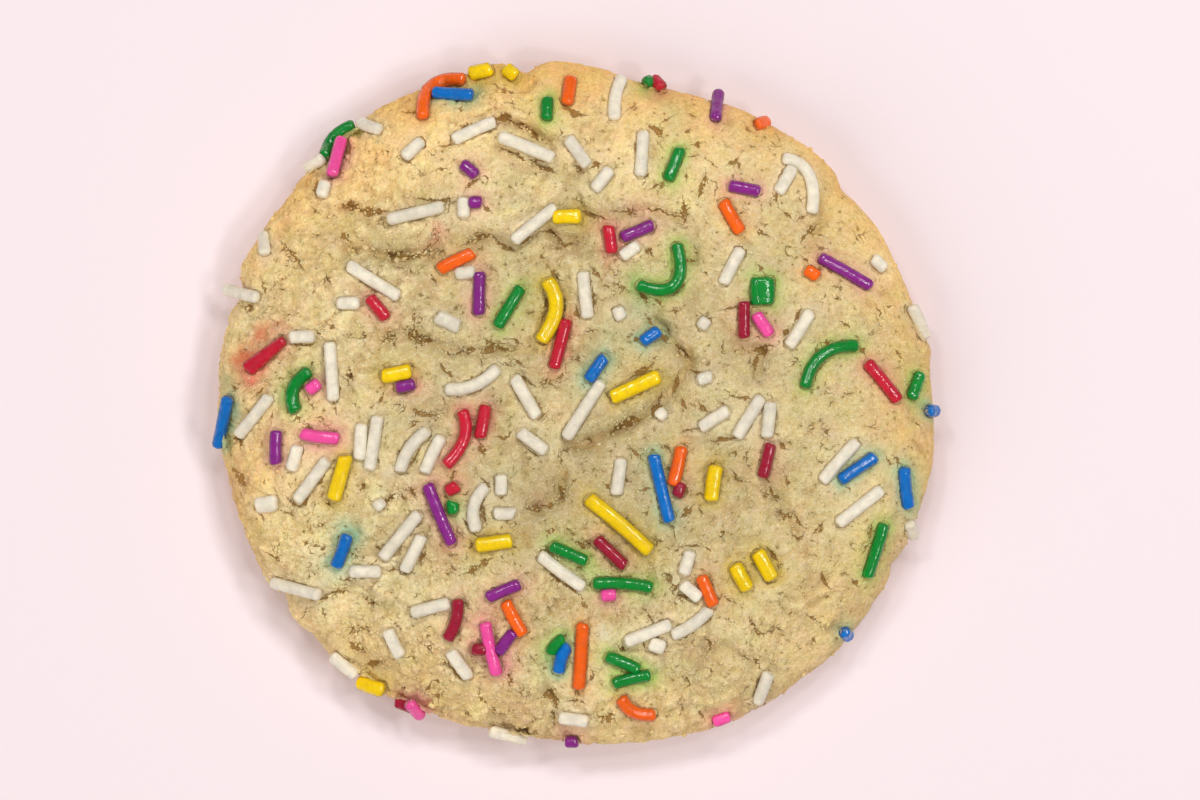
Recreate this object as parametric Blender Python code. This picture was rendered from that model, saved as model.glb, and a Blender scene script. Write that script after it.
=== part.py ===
"""Round sugar cookie with sprinkles, modelled as one closed solid.

The cookie is a thick, soft-baked disc of dough that rests on its flat base. Its top is gently
domed and broken by creases into low plates, its upper right slopes off smoothly, and its lower
left is steep and crumbly. About 160 sugar sprinkles are pressed into the top and the rim. They
are part of the same solid, because they can't be lifted off a baked cookie.

The frame is metres with +Z up. The origin is the centre of the base, +X runs along the cookie's
longest width and +Y runs away from the lower edge of the picture.
"""

import math

import bmesh
import bpy
import numpy as np

MM = 0.001

# The cookie's own sizes, in millimetres
COOKIE_WIDTH = 78.3
TOP_HEIGHT = 11.6
WIDEST_HEIGHT = 3.6
BASE_INSET = 2.6
# Radius of the outline at every 15 degrees, counter-clockwise from +X
OUTLINE_RADII = [38.6, 38.0, 37.7, 37.4, 36.2, 35.6, 36.6, 37.5, 38.3, 38.7, 38.6, 39.1,
                 39.1, 38.8, 38.7, 38.0, 37.7, 36.9, 36.8, 37.1, 38.0, 38.3, 38.5, 38.7]
# Bumps and notches of the outline: direction in degrees, half width in degrees, height
OUTLINE_NICKS = [(93, 3, 0.4), (99, 2, -0.8), (103, 3, 0.5), (39, 2, -0.7), (162, 2.5, -0.8),
                 (157, 2.5, 0.3), (333, 2, -0.4), (214, 3, -0.4), (227, 3, 0.3), (9, 2, 0.4)]

# How the top falls to the rim. A small power slopes gently, a large one stays flat and drops
# steeply. The steepest side faces the lower left.
SLOPE_POWER = 4.2
SLOPE_CHANGE = 1.2
STEEPEST_DIRECTION = math.radians(225)

# Relief of the dough
BROAD_LUMP = 0.5
BROAD_SIZE = 11.0
BROAD_SEED = 1
SMALL_LUMP = 0.5
SMALL_SIZE = 4.2
SMALL_SEED = 2
CREASE_HALF_WIDTH = 1.1
# Share of the reach where the relief starts to turn from upwards to outwards
SHOULDER_REACH = 0.8
SIDE_RELIEF_SHARE = 0.6
# A lattice corner's random number is the fraction of a sine that is stretched by a large number
LATTICE_SHIFT = 7.3
LATTICE_MIX = (127.1, 311.7, 74.7)
LATTICE_STRETCH = 43758.5453

# Places are read by eye in a picture that is 1200 pixels wide. These two values turn them into
# millimetres from the cookie's centre.
PICTURE_CENTRE = (577, 404)
PICTURE_WIDTH_OF_COOKIE = 725

# Creases between the plates: depth, then the places that each one runs through
CREASES = [
    (1.2, (343, 208), (362, 213), (390, 225)),
    (1.6, (350, 250), (392, 257), (435, 250)),
    (1.2, (455, 241), (490, 236), (515, 249), (545, 232), (575, 243)),
    (1.0, (575, 205), (600, 219), (645, 210), (690, 222), (693, 262)),
    (1.6, (495, 120), (518, 125), (548, 145)),
    (1.1, (495, 150), (522, 161), (575, 172)),
    (1.1, (385, 340), (412, 335), (440, 345), (475, 353), (530, 350)),
    (1.5, (655, 322), (690, 365), (662, 400), (625, 427), (572, 446)),
    (1.1, (560, 470), (564, 492), (540, 508)),
    (1.3, (283, 594), (312, 600), (345, 590), (395, 611)),
    (1.1, (350, 632), (360, 655), (372, 668)),
    (1.1, (550, 690), (555, 706), (558, 728)),
    (1.0, (735, 345), (760, 352), (757, 372)),
    (1.0, (770, 490), (782, 502), (795, 530)),
    (1.0, (822, 200), (825, 216), (810, 246)),
    (0.8, (715, 645), (748, 658), (775, 668)),
]

# Each sprinkle is a row of places. Two places are the ends of a straight one, and three are an
# end, the middle and the other end of a bent one.
WHITE = [
    (500, 138, 554, 160), (389, 221, 445, 208), (350, 266, 401, 298), (332, 343, 336, 401),
    (514, 243, 556, 209), (583, 273, 588, 319), (622, 78, 615, 99, 615, 121),
    (643, 133, 640, 178), (782, 159, 808, 175, 811, 214), (740, 250, 722, 285),
    (224, 289, 259, 298), (272, 396, 239, 436), (330, 459, 299, 500), (380, 416, 372, 469),
    (430, 430, 412, 447, 402, 471), (443, 436, 426, 472), (447, 389, 475, 386, 499, 368),
    (515, 377, 538, 417), (602, 382, 566, 438), (488, 485, 475, 505, 478, 530),
    (809, 312, 787, 347), (760, 397, 735, 437), (855, 441, 820, 481), (880, 489, 836, 523),
    (421, 512, 384, 557), (272, 582, 322, 594), (540, 553, 584, 586), (625, 640, 670, 622),
    (671, 633, 692, 623, 709, 607), (413, 611, 451, 601), (424, 534, 406, 570),
    (454, 142, 496, 123), (914, 305, 929, 338), (490, 731, 526, 741), (305, 168, 324, 158),
    (327, 660, 352, 681), (792, 168, 777, 194), (872, 258, 884, 270), (699, 428, 727, 410),
    (769, 402, 765, 437), (768, 672, 757, 703), (559, 716, 588, 720), (909, 523, 915, 538),
    (340, 304, 362, 304), (292, 338, 317, 337), (364, 424, 362, 459), (301, 445, 294, 470),
    (258, 505, 279, 502), (352, 570, 383, 570), (502, 474, 502, 494), (495, 512, 516, 512),
    (457, 275, 476, 272), (438, 317, 461, 328), (520, 431, 547, 451), (405, 159, 423, 142),
    (568, 140, 588, 168), (465, 199, 465, 219), (594, 192, 610, 171), (621, 258, 638, 246),
    (621, 458, 616, 494), (690, 550, 683, 573), (681, 582, 699, 597), (359, 122, 381, 131),
    (264, 233, 266, 254), (327, 182, 323, 198), (389, 628, 402, 655), (451, 649, 470, 676),
    (649, 641, 664, 646),
]
YELLOW = [
    (553, 219, 581, 218), (547, 281, 556, 309, 541, 342), (384, 377, 413, 371),
    (611, 398, 659, 376), (349, 455, 336, 499), (588, 497, 650, 550), (477, 544, 513, 539),
    (715, 465, 710, 500), (733, 563, 747, 588), (756, 550, 771, 578), (358, 682, 384, 690),
    (469, 74, 492, 69), (505, 68, 517, 77),
]
ORANGE = [
    (424, 120, 431, 86, 465, 80), (571, 78, 567, 106), (756, 125, 768, 121),
    (440, 271, 475, 254), (722, 202, 740, 234), (804, 270, 817, 278), (681, 446, 672, 485),
    (506, 599, 524, 633), (583, 621, 579, 687), (700, 574, 713, 604),
    (621, 695, 633, 710, 655, 713),
]
RED = [
    (653, 77, 663, 88), (371, 298, 389, 320), (287, 340, 249, 370), (608, 227, 612, 255),
    (567, 320, 554, 369), (463, 410, 466, 437, 447, 465), (487, 405, 481, 438),
    (448, 491, 460, 485), (865, 362, 897, 401),
]
CRIMSON = [
    (743, 302, 743, 339), (769, 443, 761, 477), (681, 482, 676, 496), (596, 537, 625, 565),
    (459, 597, 457, 618, 448, 638), (473, 647, 488, 647), (393, 706, 412, 713),
]
PINK = [
    (342, 138, 333, 177), (754, 314, 769, 336), (310, 391, 322, 382),
    (304, 433, 322, 437, 342, 438), (486, 620, 498, 673), (601, 594, 616, 593),
    (409, 702, 421, 717), (713, 722, 730, 716),
]
PURPLE = [
    (463, 165, 478, 178), (470, 204, 483, 204), (719, 91, 715, 121), (728, 187, 759, 193),
    (621, 239, 653, 226), (481, 273, 480, 316), (818, 258, 870, 287), (398, 388, 417, 384),
    (279, 430, 278, 464), (429, 483, 454, 543), (488, 596, 521, 582), (515, 629, 499, 651),
    (565, 742, 578, 742),
]
BLUE = [
    (433, 93, 474, 96), (641, 343, 659, 331), (588, 381, 605, 357), (229, 397, 217, 447),
    (653, 454, 669, 521), (350, 533, 338, 566), (838, 480, 874, 456), (903, 467, 908, 508),
    (928, 411, 937, 411), (843, 631, 849, 637), (570, 644, 562, 653, 559, 671),
]
GREEN = [
    (325, 157, 334, 137, 354, 124), (548, 99, 547, 122), (647, 76, 653, 72),
    (680, 150, 667, 182), (676, 245, 674, 286, 637, 286), (522, 288, 498, 328),
    (755, 279, 755, 306), (767, 278, 767, 305), (856, 346, 820, 356, 803, 388),
    (920, 373, 910, 399), (313, 371, 295, 389, 299, 412), (453, 500, 454, 513),
    (551, 544, 587, 560), (593, 582, 622, 582, 652, 586), (565, 636, 556, 643, 551, 652),
    (606, 654, 639, 668), (613, 682, 631, 676, 650, 673), (883, 523, 866, 577),
]

# Each colour: its places, the sprinkles' diameter in millimetres and the paint
SPRINKLES = {
    "white": (WHITE, 1.35, (0.86, 0.80, 0.70)),
    "yellow": (YELLOW, 1.65, (0.91, 0.56, 0.01)),
    "orange": (ORANGE, 1.45, (0.91, 0.14, 0.01)),
    "red": (RED, 1.4, (0.55, 0.01, 0.03)),
    "crimson": (CRIMSON, 1.35, (0.33, 0.01, 0.04)),
    "pink": (PINK, 1.4, (0.91, 0.07, 0.31)),
    "purple": (PURPLE, 1.35, (0.23, 0.02, 0.20)),
    "blue": (BLUE, 1.4, (0.01, 0.15, 0.58)),
    "green": (GREEN, 1.35, (0.01, 0.21, 0.03)),
}

# Short broken bits of white sprinkle fill the widest gaps between these, by a rule
FILL_COUNT = 5
FILL_LENGTHS = (1.0, 1.7)
FILL_TRIES = 60
# They lie in a disc that leaves the cookie's right side bare
FILL_MIDDLE = (-7.0, 0.5)
FILL_RADIUS = 28.0
SEED = 17

# How a sprinkle lies: its axis stands this share of its radius above the dough
LIFT_SHARES = (0.05, 0.45)
# A sprinkle that lies wholly past this reach moves in until it touches the rim
RIM_REACH = 0.992
POINTS_ON_A_BEND = 5

# Steps of the mesh: the top's cells, then rings of reach and of turn under the widest height
TOP_CELLS = 36
TOP_REACH = 0.955
SIDE_RINGS = [(0.988, 0.0), (1.0, 0.0), (1.0, 42.0), (1.0, 90.0)]
WELD_DISTANCE = 0.00001
SHARP_ANGLE = math.radians(40)

DOUGH_PAINT = (0.65, 0.52, 0.32)
DOUGH_ROUGHNESS = 0.8
SUGAR_ROUGHNESS = 0.35


def picture_to_mm(places):
    """Turn pixel places into millimetres from the cookie's centre, with +Y up the picture."""
    offsets = np.asarray(places, dtype=float).reshape(-1, 2) - PICTURE_CENTRE
    return offsets * (1, -1) * COOKIE_WIDTH / PICTURE_WIDTH_OF_COOKIE


def smooth_noise(points, size, seed):
    """Random heights between -1 and 1 at the corners of a lattice, blended smoothly between."""
    scaled = points / size + LATTICE_SHIFT * seed
    cell = np.floor(scaled)
    share = scaled - cell
    share = share * share * (3.0 - 2.0 * share)
    total = np.zeros(len(points))
    for corner in np.ndindex(2, 2, 2):
        hashed = np.sin((cell + corner) @ LATTICE_MIX) * LATTICE_STRETCH
        weight = np.prod(np.where(corner, share, 1.0 - share), axis=1)
        total += weight * (hashed - np.floor(hashed))
    return 2.0 * total - 1.0


def outline_radius(angles):
    """Radius of the widest outline in each direction: a smooth closed curve, then its nicks."""
    count = len(OUTLINE_RADII)
    radii = np.array(OUTLINE_RADII)
    position = np.mod(angles, 2.0 * math.pi) / (2.0 * math.pi) * count
    index = np.floor(position).astype(int)
    share = position - index
    before, start, end, after = (radii[(index + step) % count] for step in (-1, 0, 1, 2))
    radius = start + 0.5 * share * (
        end - before
        + share * (2.0 * before - 5.0 * start + 4.0 * end - after)
        + share ** 2 * (3.0 * (start - end) + after - before))
    for direction, half_width, height in OUTLINE_NICKS:
        turn = np.mod(np.degrees(angles) - direction + 180.0, 360.0) - 180.0
        radius = radius + height * np.exp(-(turn / half_width) ** 2)
    return radius


def top_height(reach, angles):
    """Height of the smooth top where reach runs from 0 at the centre to 1 at the outline."""
    power = SLOPE_POWER + SLOPE_CHANGE * np.cos(angles - STEEPEST_DIRECTION)
    fall = np.sqrt(np.clip(1.0 - reach ** power, 0.0, 1.0))
    return WIDEST_HEIGHT + (TOP_HEIGHT - WIDEST_HEIGHT) * fall


def crease_depth(flat):
    """Depth of the creases: each is a rounded groove along its path."""
    depth = np.zeros(len(flat))
    for deep, *places in CREASES:
        corners = picture_to_mm(places)
        for start, end in zip(corners, corners[1:]):
            run = end - start
            along = np.clip((flat - start) @ run / (run @ run), 0.0, 1.0)
            gap = np.linalg.norm(flat - start - along[:, None] * run, axis=1)
            depth = np.maximum(depth, deep * np.exp(-(gap / CREASE_HALF_WIDTH) ** 2))
    return depth


def lumps(points):
    """Uneven swelling of the dough, broad and small."""
    return (BROAD_LUMP * smooth_noise(points, BROAD_SIZE, BROAD_SEED)
            + SMALL_LUMP * smooth_noise(points, SMALL_SIZE, SMALL_SEED))


def shoulder(reach):
    """0 on the top, rising to 1 at the outline, where the skin stands upright."""
    return np.clip((reach - SHOULDER_REACH) / (1.0 - SHOULDER_REACH), 0.0, 1.0) ** 2


def reach_of(flat):
    """Share of the way from the centre to the outline, and the direction of each place."""
    angles = np.arctan2(flat[:, 1], flat[:, 0])
    return np.linalg.norm(flat, axis=1) / outline_radius(angles), angles


def top_surface(flat):
    """Lumpy top, without its creases, above each flat place."""
    reach, angles = reach_of(flat)
    reach = np.minimum(reach, 1.0)
    height = top_height(reach, angles)
    return height + lumps(np.column_stack([flat, height])) * (1.0 - shoulder(reach))


def paint(name, colour, roughness):
    """A matt or slightly glossy food colour."""
    material = bpy.data.materials.new(name)
    material.use_nodes = True
    shader = material.node_tree.nodes["Principled BSDF"]
    shader.inputs["Base Color"].default_value = (*colour, 1.0)
    shader.inputs["Roughness"].default_value = roughness
    shader.inputs["Metallic"].default_value = 0.0
    return material


def square_to_disc(corners):
    """Map the square from -1 to 1 onto the unit disc, square rings becoming round ones."""
    across, up = corners[:, 0], corners[:, 1]
    wide = np.abs(across) >= np.abs(up)
    reach = np.where(wide, across, up)
    ratio = np.divide(np.where(wide, up, across), reach, out=np.zeros(len(reach)), where=reach != 0)
    turn = ratio * math.pi / 4.0
    return (reach * np.where(wide, np.cos(turn), np.sin(turn)),
            reach * np.where(wide, np.sin(turn), np.cos(turn)))


def dough_places(angles, reach, drop_angle):
    """Place of the dough's skin in each direction, at its share of the way to the outline.

    drop_angle is 0 on the top. Past the outline it turns from 0 at the widest height to 90
    degrees at the base, along a quarter of an ellipse that tucks in under the cookie.
    """
    outward = np.column_stack([np.cos(angles), np.sin(angles), np.zeros(len(angles))])
    tuck = BASE_INSET * (1.0 - math.cos(drop_angle))
    smooth = outward * (reach * outline_radius(angles) - tuck)[:, None]
    smooth[:, 2] = top_height(reach, angles) - WIDEST_HEIGHT * math.sin(drop_angle)
    # Relief pushes the top upwards and the side outwards, and leaves the base flat.
    relief = (lumps(smooth) - crease_depth(smooth[:, :2])) * math.cos(drop_angle)
    upright = shoulder(reach)
    smooth[:, 2] += relief * (1.0 - upright)
    return smooth + outward * (relief * upright * SIDE_RELIEF_SHARE)[:, None]


def build_dough():
    """The cookie's body: a grid bent into a dome, its edge run down and tucked under."""
    body = bmesh.new()
    bmesh.ops.create_grid(body, x_segments=TOP_CELLS, y_segments=TOP_CELLS, size=1.0)
    across, up = square_to_disc(np.array([vertex.co[:] for vertex in body.verts]))
    angles = np.arctan2(up, across)
    directions = dict(zip(body.verts, angles))
    for vertex, place in zip(body.verts, dough_places(angles, np.hypot(across, up) * TOP_REACH, 0.0)):
        vertex.co = place * MM
    rim = [edge for edge in body.edges if edge.is_boundary]
    for reach, degrees in SIDE_RINGS:
        ring = bmesh.ops.extrude_edge_only(body, edges=rim)["geom"]
        lower = [item for item in ring if isinstance(item, bmesh.types.BMVert)]
        neighbours = [[edge.other_vert(vertex) for edge in vertex.link_edges] for vertex in lower]
        angles = np.array([next(directions[other] for other in near if other in directions)
                           for near in neighbours])
        directions.update(zip(lower, angles))
        places = dough_places(angles, np.full(len(lower), reach), math.radians(degrees))
        for vertex, place in zip(lower, places):
            vertex.co = place * MM
        rim = [item for item in ring if isinstance(item, bmesh.types.BMEdge) and item.is_boundary]
    bmesh.ops.contextual_create(body, geom=rim)
    bmesh.ops.recalc_face_normals(body, faces=body.faces)
    mesh = bpy.data.meshes.new("cookie")
    body.to_mesh(mesh)
    body.free()
    mesh.materials.append(paint("baked_dough", DOUGH_PAINT, DOUGH_ROUGHNESS))
    return bpy.data.objects.new("cookie", mesh)


def sprinkle_path(row):
    """Points along a sprinkle's middle line, seen from above."""
    places = picture_to_mm(row)
    if len(places) == 2:
        return places
    start, middle, end = places
    handle = 2.0 * middle - 0.5 * (start + end)
    share = np.linspace(0.0, 1.0, POINTS_ON_A_BEND)[:, None]
    return (1.0 - share) ** 2 * start + 2.0 * share * (1.0 - share) * handle + share ** 2 * end


def filling_paths(taken, rng):
    """Short straight bits, each the candidate that lies farthest from its neighbours."""
    taken = [point for path in taken for point in np.vstack([path, path.mean(axis=0)])]
    paths = []
    for length in np.sort(rng.uniform(*FILL_LENGTHS, FILL_COUNT))[::-1]:
        spin = rng.uniform(0.0, 2.0 * math.pi, FILL_TRIES)
        radius = np.sqrt(rng.uniform(0.0, 1.0, FILL_TRIES)) * FILL_RADIUS
        middle = FILL_MIDDLE + np.column_stack([np.cos(spin), np.sin(spin)]) * radius[:, None]
        heading = rng.uniform(0.0, math.pi, FILL_TRIES)
        half = np.column_stack([np.cos(heading), np.sin(heading)]) * length / 2.0
        points = np.stack([middle - half, middle, middle + half], axis=1)
        gaps = np.linalg.norm(points[:, :, None] - np.array(taken)[None, None], axis=3)
        best = points[np.argmax(gaps.min(axis=(1, 2)))]
        taken.extend(best)
        paths.append(best[[0, 2]])
    return paths


def build_sprinkle(name, path, diameter, lift, material):
    """One sprinkle: a six-sided rod along its path, half sunk in the dough, its ends capped."""
    reach, _ = reach_of(path)
    path = path * min(1.0, RIM_REACH / reach.min())
    heights = top_surface(path) + lift * diameter / 2.0
    curve = bpy.data.curves.new(name, "CURVE")
    curve.dimensions = "3D"
    curve.bevel_depth = diameter / 2.0 * MM
    curve.bevel_resolution = 1
    curve.use_fill_caps = True
    spline = curve.splines.new("POLY")
    spline.points.add(len(path) - 1)
    for point, place, height in zip(spline.points, path, heights):
        point.co = (*(place * MM), height * MM, 1.0)
    guide = bpy.data.objects.new(name, curve)
    bpy.context.scene.collection.objects.link(guide)
    evaluated = guide.evaluated_get(bpy.context.evaluated_depsgraph_get())
    mesh = bpy.data.meshes.new_from_object(evaluated)
    bpy.data.objects.remove(guide)
    rod = bmesh.new()
    rod.from_mesh(mesh)
    bmesh.ops.remove_doubles(rod, verts=rod.verts, dist=WELD_DISTANCE)
    bmesh.ops.recalc_face_normals(rod, faces=rod.faces)
    rod.to_mesh(mesh)
    rod.free()
    mesh.materials.clear()
    mesh.materials.append(material)
    return bpy.data.objects.new(name, mesh)


def build_sprinkles(collection):
    """All the sprinkles, the read ones first and then the short white bits between them."""
    rng = np.random.default_rng(SEED)
    paths = {colour: [sprinkle_path(row) for row in rows]
             for colour, (rows, _, _) in SPRINKLES.items()}
    placed = [path for group in paths.values() for path in group]
    paths["white"] += filling_paths(placed, rng)
    for colour, group in paths.items():
        _, diameter, shade = SPRINKLES[colour]
        material = paint("sugar_" + colour, shade, SUGAR_ROUGHNESS)
        for index, path in enumerate(group):
            lift = rng.uniform(*LIFT_SHARES)
            rod = build_sprinkle(f"{colour}_{index}", path, diameter, lift, material)
            collection.objects.link(rod)


def keep_largest_shell(target):
    """Drop loose scraps and sealed hollows, so that one outer skin is left."""
    body = bmesh.new()
    body.from_mesh(target.data)
    waiting = set(body.faces)
    shells = []
    while waiting:
        shell = set()
        front = [waiting.pop()]
        while front:
            face = front.pop()
            shell.add(face)
            near = {other for edge in face.edges for other in edge.link_faces} & waiting
            waiting -= near
            front.extend(near)
        shells.append(shell)
    shells.sort(key=len)
    scraps = [face for shell in shells[:-1] for face in shell]
    bmesh.ops.delete(body, geom=scraps, context="FACES")
    body.to_mesh(target.data)
    body.free()


def fuse(target, collection):
    """Join the sprinkles to the dough in one union and remove them as objects."""
    union = target.modifiers.new("fuse_sprinkles", "BOOLEAN")
    union.operation = "UNION"
    union.operand_type = "COLLECTION"
    union.collection = collection
    union.solver = "EXACT"
    union.material_mode = "TRANSFER"
    evaluated = target.evaluated_get(bpy.context.evaluated_depsgraph_get())
    joined = bpy.data.meshes.new_from_object(evaluated)
    target.modifiers.remove(union)
    target.data = joined
    for rod in list(collection.objects):
        bpy.data.objects.remove(rod)
    bpy.data.collections.remove(collection)


def main():
    """Clear the scene, build the cookie and leave it as one object."""
    for existing in list(bpy.data.objects):
        bpy.data.objects.remove(existing)
    cookie_parts = bpy.data.collections.new("sugar_cookie")
    bpy.context.scene.collection.children.link(cookie_parts)
    loose_sprinkles = bpy.data.collections.new("loose_sprinkles")
    bpy.context.scene.collection.children.link(loose_sprinkles)
    cookie = build_dough()
    cookie_parts.objects.link(cookie)
    build_sprinkles(loose_sprinkles)
    fuse(cookie, loose_sprinkles)
    keep_largest_shell(cookie)
    cookie.data.shade_smooth()
    cookie.data.set_sharp_from_angle(angle=SHARP_ANGLE)


main()
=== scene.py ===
# %% [markdown]
# # A sugar cookie with sprinkles
#
# The real thing is a thick, soft-baked disc of pale dough. Its top has puffed up, sunk back and
# broken into low plates, its rim is golden, and coloured sugar strands lie pressed into it, with
# a little of their dye melted into the dough round each one.
#
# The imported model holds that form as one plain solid. Here the same form is worked out again
# with a far finer surface, and the sprinkles become pieces of their own, one for each colour.

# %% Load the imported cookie
import math

import bpy
import numpy as np
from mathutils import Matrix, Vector


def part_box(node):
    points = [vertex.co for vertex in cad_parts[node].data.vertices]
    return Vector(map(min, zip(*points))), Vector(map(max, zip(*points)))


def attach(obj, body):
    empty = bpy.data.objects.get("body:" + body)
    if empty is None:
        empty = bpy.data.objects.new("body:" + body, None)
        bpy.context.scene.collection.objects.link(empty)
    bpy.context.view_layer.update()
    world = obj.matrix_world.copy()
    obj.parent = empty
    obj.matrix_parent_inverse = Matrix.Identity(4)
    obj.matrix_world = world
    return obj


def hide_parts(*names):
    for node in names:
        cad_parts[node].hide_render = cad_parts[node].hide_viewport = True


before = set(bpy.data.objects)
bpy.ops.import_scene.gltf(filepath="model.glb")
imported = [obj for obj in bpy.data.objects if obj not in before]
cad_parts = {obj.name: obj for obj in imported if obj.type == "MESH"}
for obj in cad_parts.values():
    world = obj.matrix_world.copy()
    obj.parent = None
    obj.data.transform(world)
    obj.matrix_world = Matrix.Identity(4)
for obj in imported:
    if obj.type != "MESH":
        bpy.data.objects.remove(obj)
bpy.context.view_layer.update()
MM = 0.001
low, high = (np.array(corner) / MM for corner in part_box("cookie"))
print("packed nodes:", len(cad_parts), "and the cookie, mm:", np.round(high - low, 1))

# %% [markdown]
# ## The sizes that the form hangs on
#
# Every length below is in millimetres. The outline is a closed curve through radii that stand
# 15 degrees apart, with a few small bumps and notches added. Places on the cookie were read in a
# picture 1200 pixels wide, so one function turns such a place into millimetres.

# %% Driving sizes and the picture's scale
COOKIE_WIDTH = 78.3
TOP_HEIGHT = 11.6
WIDEST_HEIGHT = 3.6
BASE_INSET = 2.6
OUTLINE_RADII = [38.6, 38.0, 37.7, 37.4, 36.2, 35.6, 36.6, 37.5, 38.3, 38.7, 38.6, 39.1,
                 39.1, 38.8, 38.7, 38.0, 37.7, 36.9, 36.8, 37.1, 38.0, 38.3, 38.5, 38.7]
# Direction in degrees, half width in degrees, height
OUTLINE_NICKS = [(93, 3, 0.4), (99, 2, -0.8), (103, 3, 0.5), (39, 2, -0.7), (162, 2.5, -0.8),
                 (157, 2.5, 0.3), (333, 2, -0.4), (214, 3, -0.4), (227, 3, 0.3), (9, 2, 0.4)]
SLOPE_POWER = 4.2
SLOPE_CHANGE = 1.2
STEEPEST_DIRECTION = math.radians(225)
PICTURE_CENTRE = (577, 404)
PICTURE_WIDTH_OF_COOKIE = 725
PIXEL = COOKIE_WIDTH / PICTURE_WIDTH_OF_COOKIE


def picture_to_mm(places):
    """Turn pixel places into millimetres from the cookie's centre, with +Y up the picture."""
    offsets = np.asarray(places, dtype=float).reshape(-1, 2) - PICTURE_CENTRE
    return offsets * (1, -1) * COOKIE_WIDTH / PICTURE_WIDTH_OF_COOKIE


print("one pixel of the picture is", round(PIXEL, 4), "mm")

# %% [markdown]
# ## Uneven dough from lattice noise
#
# Dough has no straight lines, so nearly all of its relief comes from noise. Blender's own noise
# takes one point at a time, so these two take whole arrays. The smooth one blends random heights
# between the corners of a cubic lattice, which swells like risen dough. The other puts one seed
# in each cube and asks which seed is nearest, which gives round clods that meet along sharp
# valleys, as torn dough does.

# %% Noise on whole arrays
LATTICE_SHIFT = 7.3
LATTICE_MIX = (127.1, 311.7, 74.7)
LATTICE_STRETCH = 43758.5453
TURN_PER_SEED = 1.1
TIP_PER_SEED = 0.7


def smooth_noise(points, size, seed):
    """Random heights between -1 and 1 at the corners of a lattice, blended smoothly between."""
    scaled = points / size + LATTICE_SHIFT * seed
    cell = np.floor(scaled)
    share = scaled - cell
    share = share * share * (3.0 - 2.0 * share)
    total = np.zeros(len(points))
    for corner in np.ndindex(2, 2, 2):
        hashed = np.sin((cell + corner) @ LATTICE_MIX) * LATTICE_STRETCH
        weight = np.prod(np.where(corner, share, 1.0 - share), axis=1)
        total += weight * (hashed - np.floor(hashed))
    return 2.0 * total - 1.0


def clod_noise(points, size, seed):
    """Nearest seed of a jittered lattice: how much nearer it is than the next one, in cell
    sizes (0 in the valleys between clods), and a random number that its whole clod shares."""
    scaled = points / size + LATTICE_SHIFT * seed
    cell = np.floor(scaled)
    first, second = np.full((2, len(points)), np.inf)
    owner = np.zeros(len(points))
    for step in np.ndindex(3, 3, 3):
        cube = cell + step - 1
        jitter = np.sin((cube @ LATTICE_MIX)[:, None] + (1.0, 2.0, 3.0)) * LATTICE_STRETCH
        jitter -= np.floor(jitter)
        gap = np.linalg.norm(scaled - cube - jitter, axis=1)
        nearer = gap < first
        second = np.where(nearer, first, np.minimum(second, gap))
        first = np.where(nearer, gap, first)
        owner = np.where(nearer, jitter[:, 0], owner)
    return second - first, owner


def tilted(points, seed):
    """The points turned to an odd angle, so that two sizes of noise never share a lattice."""
    turn, tip = TURN_PER_SEED * seed, TIP_PER_SEED * seed
    spin = np.array([[math.cos(turn), -math.sin(turn), 0.0],
                     [math.sin(turn), math.cos(turn), 0.0], [0.0, 0.0, 1.0]])
    lean = np.array([[1.0, 0.0, 0.0], [0.0, math.cos(tip), -math.sin(tip)],
                     [0.0, math.sin(tip), math.cos(tip)]])
    return points @ spin.T @ lean.T


trial = smooth_noise(np.random.default_rng(1).uniform(-30, 30, (2000, 3)), 4.2, 1)
print("noise runs from", round(trial.min(), 2), "to", round(trial.max(), 2))

# %% [markdown]
# ## The smooth form
#
# Seen from above the cookie is the outline. Seen from the side it is half of a flattened
# superellipse: nearly level over the middle, falling ever faster to the widest height, then
# tucked in under itself to the flat base. The power of that curve changes with direction,
# because the upper right slopes off gently and the lower left stands steep.

# %% Outline and dome
SHOULDER_REACH = 0.8
SIDE_RELIEF_SHARE = 0.75


def outline_radius(angles):
    """Radius of the widest outline in each direction: a smooth closed curve, then its nicks."""
    count = len(OUTLINE_RADII)
    radii = np.array(OUTLINE_RADII)
    position = np.mod(angles, 2.0 * math.pi) / (2.0 * math.pi) * count
    index = np.floor(position).astype(int)
    share = position - index
    before, start, end, after = (radii[(index + step) % count] for step in (-1, 0, 1, 2))
    radius = start + 0.5 * share * (
        end - before
        + share * (2.0 * before - 5.0 * start + 4.0 * end - after)
        + share ** 2 * (3.0 * (start - end) + after - before))
    for direction, half_width, height in OUTLINE_NICKS:
        turn = np.mod(np.degrees(angles) - direction + 180.0, 360.0) - 180.0
        radius = radius + height * np.exp(-(turn / half_width) ** 2)
    return radius


def top_height(reach, angles):
    """Height of the smooth top where reach runs from 0 at the centre to 1 at the outline."""
    power = SLOPE_POWER + SLOPE_CHANGE * np.cos(angles - STEEPEST_DIRECTION)
    fall = np.sqrt(np.clip(1.0 - reach ** power, 0.0, 1.0))
    return WIDEST_HEIGHT + (TOP_HEIGHT - WIDEST_HEIGHT) * fall


def shoulder(reach):
    """0 on the top, rising to 1 at the outline, where the skin stands upright."""
    return np.clip((reach - SHOULDER_REACH) / (1.0 - SHOULDER_REACH), 0.0, 1.0) ** 2


def reach_of(flat):
    """Share of the way from the centre to the outline, and the direction of each place."""
    angles = np.arctan2(flat[:, 1], flat[:, 0])
    return np.linalg.norm(flat, axis=1) / outline_radius(angles), angles


around = np.radians(np.arange(0, 360, 1))
print("outline, mm:", round(outline_radius(around).min(), 1), "to",
      round(outline_radius(around).max(), 1))
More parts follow.
